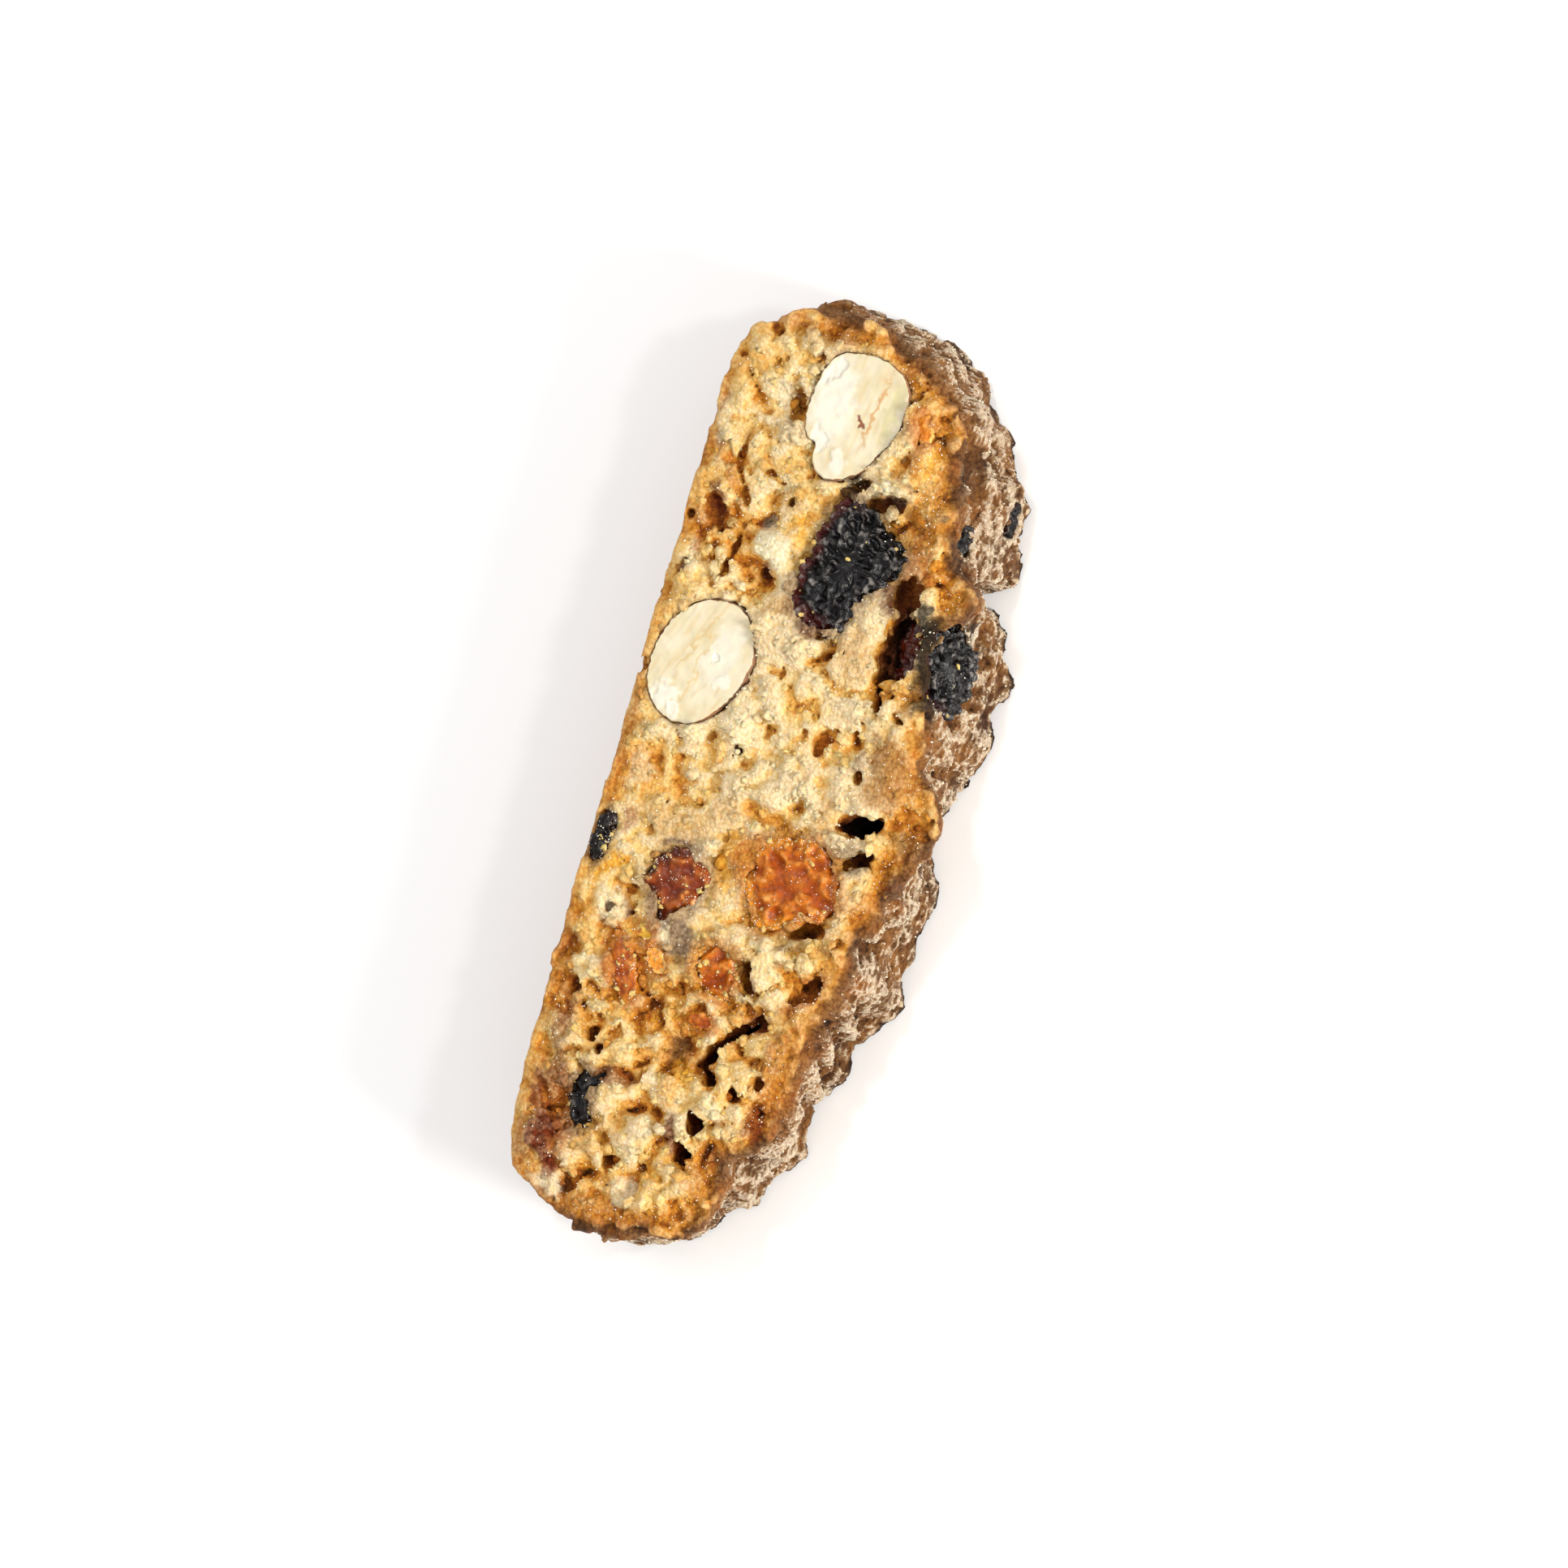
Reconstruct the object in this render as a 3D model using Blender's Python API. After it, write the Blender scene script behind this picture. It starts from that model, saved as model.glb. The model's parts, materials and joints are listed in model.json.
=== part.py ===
# Almond and fruit cantuccini slice, lying on one cut face with the other face up
import math
import random
import bpy
from mathutils import Vector, geometry, noise

# Sizes below are in millimetres and are turned into metres when vertices are made
MM = 0.001
THICKNESS = 15.0
CENTRE_SHIFT = (0.15, -0.05, 0.0)
GAP = 0.3
SEED = 27

# The cut face's edge as x, y: the flat loaf base is at +Y and the domed crust at -Y
EDGE_STATIONS = (
    (43.0, 6.2), (41.2, 11.9), (37.2, 15.0), (17.0, 15.8), (-4.0, 16.1), (-22.0, 16.7),
    (-38.6, 15.8), (-42.6, 12.0), (-44.3, 6.6), (-42.9, 0.4), (-38.5, -4.4), (-32.0, -7.6),
    (-24.0, -9.6), (-15.0, -11.8), (-5.0, -13.4), (6.0, -13.6), (17.0, -12.8), (28.0, -10.6),
    (36.6, -7.4), (41.2, -1.6),
)
# Lobes of the domed crust as x, spread, outward amount at the cut and at the foot
CRUST_LOBES = (
    (-40.6, 2.2, 1.7, -1.6), (-35.6, 1.6, -1.6, -0.8), (-29.0, 3.4, 1.4, -1.7), (-22.5, 2.4, 0.0, -1.0),
    (-16.6, 2.0, 0.2, 1.3), (-13.2, 1.6, -1.2, 0.0), (-0.6, 4.2, 3.2, -2.5), (4.9, 1.2, -0.9, -0.5),
    (9.0, 3.0, -1.3, 0.4), (14.2, 2.6, -0.8, 1.2), (20.2, 1.9, 1.9, -0.4), (25.2, 2.4, -1.1, 1.1),
    (30.2, 2.6, -0.7, 1.8), (36.0, 2.0, 0.8, 0.5), (41.8, 3.0, 0.2, 1.3),
)
# Folds and knobs baked into the domed crust as x, z of both ends, width, rise
CRUST_FOLDS = (
    (43.5, 11.2, 36.5, 10.4, 1.9, 0.75), (36.5, 10.4, 28.5, 7.6, 1.8, 0.7),
    (34.0, 4.4, 27.0, 3.4, 2.0, 0.5), (12.4, 6.0, 6.8, 9.6, 2.0, 0.6), (19.6, 5.0, 16.0, 4.0, 2.4, 0.5),
    (3.4, 8.0, -4.0, 5.4, 2.4, 0.5), (-18.6, 12.6, -21.2, 4.4, 1.3, 0.75),
    (-21.4, 12.8, -24.2, 4.6, 1.3, 0.8), (-24.2, 12.4, -27.4, 4.2, 1.4, 0.7),
    (-29.0, 11.4, -35.2, 6.4, 1.6, 0.7), (-14.0, 7.4, -15.6, 4.6, 2.6, 0.8),
    (-36.6, 7.0, -38.6, 5.0, 2.2, 1.0), (-40.6, 9.4, -43.6, 5.0, 1.8, 0.5),
    (-7.0, 11.6, -11.4, 7.0, 1.6, 0.5),
)
FOLD_GROOVE = 0.4
CLEFT_X = 21.7
CLEFT_WIDTH = 0.75
CLEFT_DEPTH = 4.2
CLEFT_TOP = 12.5
FOOT_LEVEL = 4.0
CRUST_SIDE_Y = 13.5
CRUST_FADE = 7.0
FOLD_RISE = 0.5
PUCKER_RISE = 0.5
BASE_GRAIN = 0.28

# Mesh spacing
EDGE_STEPS = 150
WALL_LEVELS = (0.0, 0.8, 2.6, 4.9, 7.3, 9.6, 11.8, 13.6, 15.0)
CLEFT_REACH = 2.0
FOOT_INSET = 0.5
CROWN_STEP = 1.75
SOLE_STEP = 2.5
JITTER = 0.22
ROW_STEP = 0.866
CLOSEST_WANTED = 0.5
CLOSEST_GRID = 0.62
SPLINE_STEPS = 60
LARGE_PIT = 3.0

# Pits in the cut face as x, y, length, width, turn in degrees, depth
PITS = (
    (-2.1, -9.3, 4.4, 2.7, -72, 7.0), (-5.2, -9.9, 3.2, 1.6, -60, 2.6), (-8.0, -9.0, 1.6, 0.9, 0, 1.8),
    (-12.6, -6.6, 4.2, 1.8, -75, 2.6), (-17.8, -8.6, 4.6, 2.2, -35, 2.4), (-18.0, -2.6, 3.6, 1.5, 10, 2.2),
    (15.4, -8.9, 4.6, 3.4, 10, 3.4), (20.2, -8.4, 3.6, 3.0, 0, 1.5), (27.3, -3.6, 4.2, 1.8, -80, 2.2),
    (28.2, -0.5, 2.6, 1.2, -60, 1.8), (22.6, 12.4, 4.0, 2.2, 25, 1.6), (-32.5, -1.3, 2.4, 1.6, 30, 2.8),
    (-35.5, -0.8, 2.6, 1.9, 20, 2.8), (-29.6, -6.8, 1.7, 1.2, 0, 1.8), (-27.4, -6.4, 1.6, 1.1, 0, 1.6),
    (-29.0, -4.4, 1.5, 1.1, 0, 1.5), (-26.9, 10.6, 1.8, 1.2, 0, 1.6), (-28.4, 9.4, 1.6, 1.1, 40, 1.4),
    (-38.0, 5.9, 2.2, 1.6, 0, 1.6), (-37.6, 2.6, 1.7, 1.2, 0, 1.5), (-42.2, 3.2, 1.4, 1.0, 0, 1.0),
    (4.1, -2.6, 1.5, 1.0, 0, 1.3), (5.3, -6.9, 1.7, 1.1, 0, 1.4), (2.2, -8.0, 1.5, 1.0, 0, 1.3),
    (-3.4, 9.0, 1.5, 1.0, 0, 1.2), (-5.6, 12.0, 1.4, 0.9, 0, 1.2), (-15.3, 12.5, 1.6, 1.1, 0, 1.2),
    (-23.2, 13.6, 1.7, 1.2, 0, 1.2), (34.2, 9.6, 1.6, 1.1, 0, 1.3), (36.3, 12.6, 1.6, 1.0, 50, 1.1),
    (8.2, -10.4, 1.8, 0.9, 60, 1.5), (31.2, 8.6, 1.6, 1.0, 0, 1.2), (13.2, 13.4, 1.5, 1.0, 0, 1.0),
    (-33.4, 5.0, 1.5, 1.0, 0, 1.1), (-24.4, 5.0, 1.5, 1.1, 0, 1.1), (-40.0, 8.6, 1.5, 1.0, 0, 1.0),
)
# Cracks as width, depth and the points they run through
CRACKS = (
    (1.5, 3.6, ((-21.8, -5.2), (-23.6, -2.6), (-25.1, -1.4), (-27.0, -0.6), (-28.6, -1.6))),
    (0.9, 2.8, ((15.6, -7.4), (13.6, -6.6), (11.4, -6.8), (9.4, -7.4))),
    (0.8, 1.3, ((22.0, 9.6), (19.0, 10.1), (17.2, 10.1))),
    (1.0, 0.9, ((28.4, 12.0), (26.4, 11.0), (24.2, 9.8))),
)
# Crumb lumps and flakes that stand up, as x, y, length, width, turn in degrees, rise
LUMPS = (
    (28.9, -5.6, 7.0, 3.0, -78, 0.6), (21.0, 6.2, 6.0, 4.0, -60, 0.35), (3.2, 4.6, 6.0, 3.2, 10, 0.35),
    (10.4, -9.2, 6.4, 2.2, 0, 0.7), (-3.9, -10.9, 2.8, 1.6, -70, 0.5), (-32.4, -6.2, 3.0, 2.4, 0, 0.45),
    (-40.2, 4.4, 3.2, 2.6, 0, 0.5), (-40.4, 10.8, 3.0, 2.4, 0, 0.45), (-15.2, -1.0, 3.4, 2.6, 30, 0.4),
    (-30.0, 1.8, 4.2, 3.0, 0, 0.4), (-21.4, 5.2, 3.6, 2.4, 40, 0.35), (36.8, 8.4, 4.6, 3.0, 30, 0.35),
    (17.4, -8.0, 2.6, 1.6, 0, 0.4), (1.0, -14.0, 4.0, 2.2, 10, 0.4), (-17.2, 3.2, 3.0, 2.2, 0, 0.35),
)
CRUMB_RISE = 0.5
CRUMB_GRAIN = 0.6
RIM_DROP = 0.45
RIM_WIDTH = 1.3

# Pores of the lower cut face
SOLE_PORES = 20
SOLE_PORE_WIDTH = (1.4, 3.4)
SOLE_PORE_DEPTH = (0.7, 1.8)
SOLE_GRAIN = 0.5

# Nuts cut through, as name, x, y, half length, half width, turn, lobes of angle, spread, amount, and the
# shift and shrink of the section on the way down
NUTS = (
    ("almond_upper", 34.3, 1.6, 5.9, 4.7, -6,
     ((40, 24, 0.7), (-42, 24, 0.7), (142, 9, -0.9), (-128, 26, -0.6), (172, 16, 0.5)), (-3.4, 0.8), 0.74),
    ("almond_middle", 8.9, 9.95, 6.2, 4.7, -22,
     ((205, 20, 0.25), (60, 25, 0.15), (-50, 22, 0.15)), (2.6, -2.4), 0.66),
)
NUT_STEPS = 26
NUT_RISE = 0.25

# Fruit as name, x, y, z, half length, half width, turn, tilt, rise above and depth below the widest
# section, wrinkle, steps around, material, then the outline's lobes
FRUIT = (
    ("plum_centre", 20.8, -1.6, 14.5, 5.6, 4.3, 0, 0, 0.9, 8.0, 0.42, 24, "dark_plum",
     ((-68, 22, 1.3), (140, 26, 1.8), (16, 18, 0.9), (176, 16, 1.0), (-140, 26, -1.3), (-24, 14, -0.5),
      (75, 25, -0.4))),
    ("plum_crust", 14.1, -12.1, 11.5, 4.2, 3.6, 15, 58, 0.75, 4.4, 0.30, 18, "dark_plum",
     ((10, 24, 0.5), (190, 24, 0.4), (80, 20, -0.4))),
    ("raisin_top", 25.5, -10.2, 11.3, 1.9, 1.5, -14, 62, 0.7, 2.2, 0.12, 12, "dark_raisin",
     ((20, 24, 0.25), (190, 20, 0.2))),
    ("raisin_rim", 29.0, -11.9, 4.2, 1.9, 1.0, -12, 84, 0.5, 2.0, 0.12, 12, "dark_raisin",
     ((0, 22, 0.2), (180, 22, 0.3))),
    ("raisin_base", -9.2, 14.9, 14.4, 2.5, 1.0, -6, -18, 0.8, 2.4, 0.14, 12, "dark_raisin",
     ((0, 24, 0.3), (150, 20, 0.2))),
    ("raisin_lower", -32.9, 9.9, 14.4, 3.1, 1.3, 6, 0, 0.6, 3.0, 0.16, 16, "dark_raisin",
     ((-40, 12, 1.9), (170, 20, 0.3), (60, 24, 0.2))),
    ("apricot_large", -8.7, -4.5, 14.4, 4.2, 4.6, 0, 0, 0.7, 6.5, 0.22, 20, "candied_apricot",
     ((-100, 20, 0.5), (150, 22, 0.9), (60, 26, 0.4), (-150, 20, -0.6))),
    ("sultana", -11.3, 6.5, 14.4, 3.1, 2.7, 0, 0, 0.7, 4.5, 0.14, 18, "red_sultana",
     ((172, 13, 1.3), (100, 16, 0.8), (-70, 22, 0.3))),
    ("peel_red", -20.3, 9.5, 14.5, 3.3, 1.25, 24, 0, 0.4, 2.6, 0.08, 12, "candied_peel",
     ((0, 20, 0.2), (180, 20, 0.3))),
    ("apricot_small", -18.4, 0.3, 14.4, 2.7, 1.9, 34, 0, 0.5, 3.4, 0.14, 14, "candied_apricot",
     ((-60, 22, 0.4), (120, 22, 0.3))),
    ("peel_chip", -23.2, 0.5, 14.5, 1.25, 0.8, 80, 0, 0.4, 2.0, 0.08, 10, "candied_peel",
     ((20, 25, 0.2),)),
    ("orange_upper", 34.8, -5.4, 14.5, 1.6, 0.8, 12, 0, 0.3, 2.0, 0.06, 10, "orange_peel",
     ((30, 25, 0.15),)),
    ("orange_chip", -18.9, 6.5, 14.5, 1.3, 0.9, 40, 0, 0.35, 2.0, 0.08, 10, "orange_peel",
     ((200, 25, 0.2),)),
    ("citron_bit", -16.6, 8.2, 14.5, 1.0, 0.8, 30, 0, 0.35, 1.8, 0.06, 10, "yellow_citron",
     ((90, 25, 0.15),)),
)
FRUIT_LEVELS = 3
FRUIT_SQUARE = 0.75
POCKET_MOUTH = 1.5

# Material name to colour, roughness, subsurface weight
MATERIALS = {
    "dough_crumb": ((0.76, 0.50, 0.22), 0.82, 0.10),
    "almond_kernel": ((0.90, 0.82, 0.62), 0.55, 0.15),
    "dark_plum": ((0.022, 0.010, 0.010), 0.28, 0.0),
    "dark_raisin": ((0.030, 0.014, 0.010), 0.35, 0.0),
    "candied_apricot": ((0.60, 0.20, 0.035), 0.30, 0.20),
    "red_sultana": ((0.26, 0.060, 0.018), 0.28, 0.15),
    "candied_peel": ((0.33, 0.085, 0.022), 0.32, 0.15),
    "orange_peel": ((0.72, 0.32, 0.06), 0.40, 0.15),
    "yellow_citron": ((0.80, 0.56, 0.16), 0.45, 0.15),
}


def smooth(value):
    value = min(1.0, max(0.0, value))
    return value * value * (3.0 - 2.0 * value)


def grain(x, y, z, size, seed):
    return noise.noise(Vector((x / size + seed, y / size - seed, z / size + 0.5 * seed)))


def clear_scene():
    for thing in list(bpy.data.objects):
        bpy.data.objects.remove(thing, do_unlink=True)
    for store in (bpy.data.meshes, bpy.data.materials):
        for block in list(store):
            store.remove(block)


def make_collection(name):
    group = bpy.data.collections.new(name)
    bpy.context.scene.collection.children.link(group)
    return group


def make_material(name):
    color, roughness, subsurface = MATERIALS[name]
    material = bpy.data.materials.new(name)
    material.use_nodes = True
    shader = material.node_tree.nodes["Principled BSDF"]
    shader.inputs["Base Color"].default_value = (*color, 1.0)
    shader.inputs["Roughness"].default_value = roughness
    shader.inputs["Metallic"].default_value = 0.0
    shader.inputs["Subsurface Weight"].default_value = subsurface
    material.diffuse_color = (*color, 1.0)
    return material


def make_object(name, verts, faces, place, group, material=None):
    mesh = bpy.data.meshes.new(name)
    mesh.from_pydata([(x * MM, y * MM, z * MM) for x, y, z in verts], [], faces)
    mesh.update()
    thing = bpy.data.objects.new(name, mesh)
    thing.location = Vector(place) * MM
    if material:
        mesh.materials.append(material)
    group.objects.link(thing)
    return thing


def closed_curve(stations, count):
    # A closed Catmull-Rom curve through the stations, sampled at even lengths
    dense = []
    total = len(stations)
    for i in range(total):
        a, b, c, d = (Vector(stations[(i + k) % total]) for k in (-1, 0, 1, 2))
        for step in range(SPLINE_STEPS):
            t = step / SPLINE_STEPS
            dense.append(0.5 * (2 * b + (c - a) * t + (2 * a - 5 * b + 4 * c - d) * t * t
                                + (3 * b - a - 3 * c + d) * t ** 3))
    lengths = [0.0]
    for i in range(len(dense)):
        lengths.append(lengths[-1] + (dense[(i + 1) % len(dense)] - dense[i]).length)
    points = []
    spot = 0
    for i in range(count):
        target = lengths[-1] * i / count
        while lengths[spot + 1] < target:
            spot += 1
        share = (target - lengths[spot]) / (lengths[spot + 1] - lengths[spot])
        points.append(dense[spot].lerp(dense[(spot + 1) % len(dense)], share))
    return points


def crowd_cleft(points):
    # Extra points where the cleft runs down the wall
    result = []
    for i, point in enumerate(points):
        after = points[(i + 1) % len(points)]
        near = point.y < 0.0 and abs(0.5 * (point.x + after.x) - CLEFT_X) < CLEFT_REACH
        parts = 3 if near else 1
        result += [point.lerp(after, k / parts) for k in range(parts)]
    return result


def outward(points):
    normals = []
    for i, point in enumerate(points):
        along = points[(i + 1) % len(points)] - points[i - 1]
        normals.append(Vector((along.y, -along.x)).normalized())
    return normals


def crust_side(y):
    return smooth((CRUST_SIDE_Y - y) / CRUST_FADE)


def wall_offset(x, y, z):
    # How far the wall stands outside the edge curve at this height
    foot = 1.0 - smooth((z - FOOT_LEVEL) / (THICKNESS - FOOT_LEVEL))
    side = crust_side(y)
    amount = 0.0
    for place, spread, at_cut, at_foot in CRUST_LOBES:
        weight = math.exp(-((x - place) / spread) ** 2) * side
        amount += weight * (at_cut * (1.0 - foot) + at_foot * foot)
    folds = 0.5 - abs(grain(x, y, 2.2 * z + 0.8 * x, 4.6, 3.0)) * 2.6
    amount += side * FOLD_RISE * folds
    amount += side * PUCKER_RISE * grain(x, y, z, 2.3, 9.0)
    for x0, z0, x1, z1, width, rise in CRUST_FOLDS:
        away = path_distance(x, z, ((x0, z0), (x1, z1))) / width
        if away < 2.0:
            ridge = 1.0 - smooth(away)
            groove = smooth(1.0 - abs(away - 1.3) / 0.7)
            amount += side * rise * (ridge - FOLD_GROOVE * groove)
    amount += (1.0 - side) * BASE_GRAIN * grain(x, y, z, 2.2, 5.0)
    cleft = math.exp(-((x - CLEFT_X) / CLEFT_WIDTH) ** 2)
    amount -= side * CLEFT_DEPTH * cleft * smooth(1.6 * (1.0 - z / CLEFT_TOP))
    return amount


def oval(x, y, cx, cy, length, width, turn):
    # Distance from an oval's centre, 1 at its rim
    a = math.radians(turn)
    dx, dy = x - cx, y - cy
    along = dx * math.cos(a) + dy * math.sin(a)
    across = dy * math.cos(a) - dx * math.sin(a)
    return math.hypot(along / (0.5 * length), across / (0.5 * width))


def path_distance(x, y, points):
    spot = Vector((x, y))
    best = None
    for a, b in zip(points, points[1:]):
        a, b = Vector(a), Vector(b)
        share = min(1.0, max(0.0, (spot - a).dot(b - a) / (b - a).length_squared))
        gap = (spot - a.lerp(b, share)).length
        best = gap if best is None else min(best, gap)
    return best


def crown_height(x, y, rim):
    # Height of the upper cut face: crumb grain, lumps, pits and cracks
    height = CRUMB_RISE * grain(x, y, 0.0, 3.4, 1.0) + CRUMB_GRAIN * grain(x, y, 0.0, 1.7, 7.0)
    height -= RIM_DROP * (1.0 - smooth(rim / RIM_WIDTH))
    for cx, cy, length, width, turn, rise in LUMPS:
        height += rise * (1.0 - smooth(oval(x, y, cx, cy, length, width, turn)))
    for cx, cy, length, width, turn, depth in PITS:
        height -= depth * smooth((1.08 - oval(x, y, cx, cy, length, width, turn)) / 0.62)
    for width, depth, points in CRACKS:
        height -= depth * smooth((0.5 * width - path_distance(x, y, points)) / (0.4 * width))
    return THICKNESS + height


def rim_distance(x, y, ring):
    return path_distance(x, y, ring + ring[:1])


def inside(x, y, ring):
    crossed = False
    for i, (ax, ay) in enumerate(ring):
        bx, by = ring[i - 1]
        if (ay > y) != (by > y) and x < (bx - ax) * (y - ay) / (by - ay) + ax:
            crossed = not crossed
    return crossed


def spread_points(ring, wanted, step, edge_gap):
    # Keeps the wanted points first, then fills the face with a jittered grid
    draw = random.Random(SEED + int(10 * step))
    xs = [p[0] for p in ring]
    ys = [p[1] for p in ring]
    grid = []
    row = 0
    y = min(ys)
    while y < max(ys):
        x = min(xs) + (0.5 * step if row % 2 else 0.0)
        while x < max(xs):
            grid.append((x + draw.uniform(-JITTER, JITTER) * step, y + draw.uniform(-JITTER, JITTER) * step))
            x += step
        y += step * ROW_STEP
        row += 1
    kept = []
    cells = {}
    for closeness, points in ((CLOSEST_WANTED, wanted), (CLOSEST_GRID * step, grid)):
        for x, y in points:
            column, line = int(x // step), int(y // step)
            near = []
            for i in (-1, 0, 1):
                for j in (-1, 0, 1):
                    near += cells.get((column + i, line + j), [])
            if any(math.hypot(x - q[0], y - q[1]) < closeness for q in near):
                continue
            if not inside(x, y, ring) or rim_distance(x, y, ring) < edge_gap:
                continue
            kept.append((x, y))
            cells.setdefault((column, line), []).append((x, y))
    return kept


def pit_rings(cx, cy, length, width, turn):
    # Points round a pit's rim and floor, so that its walls are steep
    points = []
    a = math.radians(turn)
    large = length > LARGE_PIT
    for size, count in ((1.04, 11 if large else 6), (0.6, 7 if large else 4), (0.0, 1)):
        for k in range(count):
            b = 2 * math.pi * k / count
            along, across = 0.5 * length * size * math.cos(b), 0.5 * width * size * math.sin(b)
            points.append((cx + along * math.cos(a) - across * math.sin(a),
                           cy + along * math.sin(a) + across * math.cos(a)))
    return points


def pit_points():
    points = []
    for pit in PITS:
        points += pit_rings(*pit[:5])
    for width, _depth, path in CRACKS:
        for a, b in zip(path, path[1:]):
            a, b = Vector(a), Vector(b)
            side = Vector((b.y - a.y, a.x - b.x)).normalized() * 0.5 * width
            count = max(2, round((b - a).length / 1.2))
            for k in range(count):
                spot = a.lerp(b, (k + 0.5) / count)
                points += [tuple(spot), tuple(spot + side), tuple(spot - side)]
    return points


def sole_pores(ring):
    draw = random.Random(SEED)
    pores = []
    while len(pores) < SOLE_PORES:
        x, y = draw.uniform(-42, 42), draw.uniform(-14, 15)
        if inside(x, y, ring) and rim_distance(x, y, ring) > 2.0:
            size = draw.uniform(*SOLE_PORE_WIDTH)
            pores.append((x, y, size, size * draw.uniform(0.6, 0.9), draw.uniform(0, 180),
                          draw.uniform(*SOLE_PORE_DEPTH)))
    return pores


def fill_face(ring, interior):
    # Triangles over a ring and the points inside it
    count = len(ring)
    edges = [(i, (i + 1) % count) for i in range(count)]
    spots = [Vector(p) for p in ring + interior]
    result = geometry.delaunay_2d_cdt(spots, edges, [], 1, 1e-7)
    source = [origins[0] for origins in result[3]]
    return [tuple(source[i] for i in face) for face in result[2]]


def dough_mesh():
    curve = crowd_cleft(closed_curve(EDGE_STATIONS, EDGE_STEPS))
    normals = outward(curve)
    count = len(curve)
    verts = []
    rings = []
    for z in WALL_LEVELS:
        ring = []
        for point, normal in zip(curve, normals):
            reach = wall_offset(point.x, point.y, z)
            if z == 0.0:
                reach -= FOOT_INSET
            spot = point + normal * reach
            ring.append((spot.x, spot.y))
        rings.append(ring)
    for z, ring in zip(WALL_LEVELS, rings):
        for x, y in ring:
            lift = 0.0
            if z == THICKNESS:
                lift = -RIM_DROP + 0.3 * grain(x, y, 0.0, 1.8, 11.0)
            verts.append((x, y, z + lift))
    faces = []
    for level in range(len(WALL_LEVELS) - 1):
        low, high = level * count, (level + 1) * count
        for i in range(count):
            j = (i + 1) % count
            if (i + level) % 2:
                faces += [(low + i, low + j, high + j), (low + i, high + j, high + i)]
            else:
                faces += [(low + i, low + j, high + i), (low + j, high + j, high + i)]

    crown_ring = rings[-1]
    crown = spread_points(crown_ring, pit_points(), CROWN_STEP, 0.75)
    start = len(verts)
    verts += [(x, y, crown_height(x, y, rim_distance(x, y, crown_ring))) for x, y in crown]
    top = (len(WALL_LEVELS) - 1) * count
    index = list(range(top, top + count)) + list(range(start, len(verts)))
    faces += [oriented([index[i] for i in face], verts, 1) for face in fill_face(crown_ring, crown)]

    sole_ring = rings[0]
    pores = sole_pores(sole_ring)
    wanted = [spot for pore in pores for spot in pit_rings(*pore[:5])]
    sole = spread_points(sole_ring, wanted, SOLE_STEP, 1.0)
    start = len(verts)
    for x, y in sole:
        depth = sum(p[5] * smooth((1.06 - oval(x, y, *p[:5])) / 0.6) for p in pores)
        verts.append((x, y, depth + max(0.0, SOLE_GRAIN * grain(x, y, 0.0, 3.2, 15.0) - 0.05)))
    index = list(range(count)) + list(range(start, len(verts)))
    faces += [oriented([index[i] for i in face], verts, -1) for face in fill_face(sole_ring, sole)]
    return verts, faces


def oriented(face, verts, side):
    a, b, c = (verts[i] for i in face)
    turn = (b[0] - a[0]) * (c[1] - a[1]) - (b[1] - a[1]) * (c[0] - a[0])
    return tuple(face) if turn * side > 0 else tuple(reversed(face))


def section_radius(angle, half_length, half_width, lobes):
    a = math.radians(angle)
    radius = half_length * half_width / math.hypot(half_width * math.cos(a), half_length * math.sin(a))
    for place, spread, amount in lobes:
        apart = (angle - place + 180.0) % 360.0 - 180.0
        radius += amount * math.exp(-(apart / spread) ** 2)
    return radius


def ring_solid(rings, low_end, high_end):
    # Rings of equal length from the bottom up, closed by a point at each end
    count = len(rings[0])
    verts = [low_end] + [v for ring in rings for v in ring] + [high_end]
    last = len(verts) - 1
    faces = []
    for i in range(count):
        j = (i + 1) % count
        faces.append((0, 1 + j, 1 + i))
        for level in range(len(rings) - 1):
            low, high = 1 + level * count, 1 + (level + 1) * count
            if (i + level) % 2:
                faces += [(low + i, low + j, high + j), (low + i, high + j, high + i)]
            else:
                faces += [(low + i, low + j, high + i), (low + j, high + j, high + i)]
        top = 1 + (len(rings) - 1) * count
        faces.append((last, top + i, top + j))
    return verts, faces


def nut_mesh(half_length, half_width, lobes, shift, shrink, grow):
    # Section from the lower cut face to the upper one; grow makes the pocket's cutter
    floor = 0.06 if not grow else -1.0
    levels = [(floor, 1.0), (3.5, 0.75), (8.0, 0.42), (THICKNESS - 1.2, 0.08), (THICKNESS - 0.1, 0.0)]
    if grow:
        levels.append((THICKNESS + 2.0, 0.0))
    rings = []
    for z, way in levels:
        size = 1.0 - (1.0 - shrink) * way
        ring = []
        for k in range(NUT_STEPS):
            angle = 360.0 * k / NUT_STEPS
            radius = section_radius(angle, half_length, half_width, lobes) * size + grow
            a = math.radians(angle)
            ring.append((radius * math.cos(a) + shift[0] * way, radius * math.sin(a) + shift[1] * way, z))
        rings.append(ring)
    top = levels[-1][0]
    if not grow:
        top += NUT_RISE
        for scale in (0.93, 0.5):
            rings.append([(x * scale, y * scale, top + 0.08 * grain(x, y, scale, 2.0, 4.0))
                          for x, y, _z in rings[4]])
    return ring_solid(rings, (shift[0], shift[1], floor), (0.0, 0.0, top))


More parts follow.
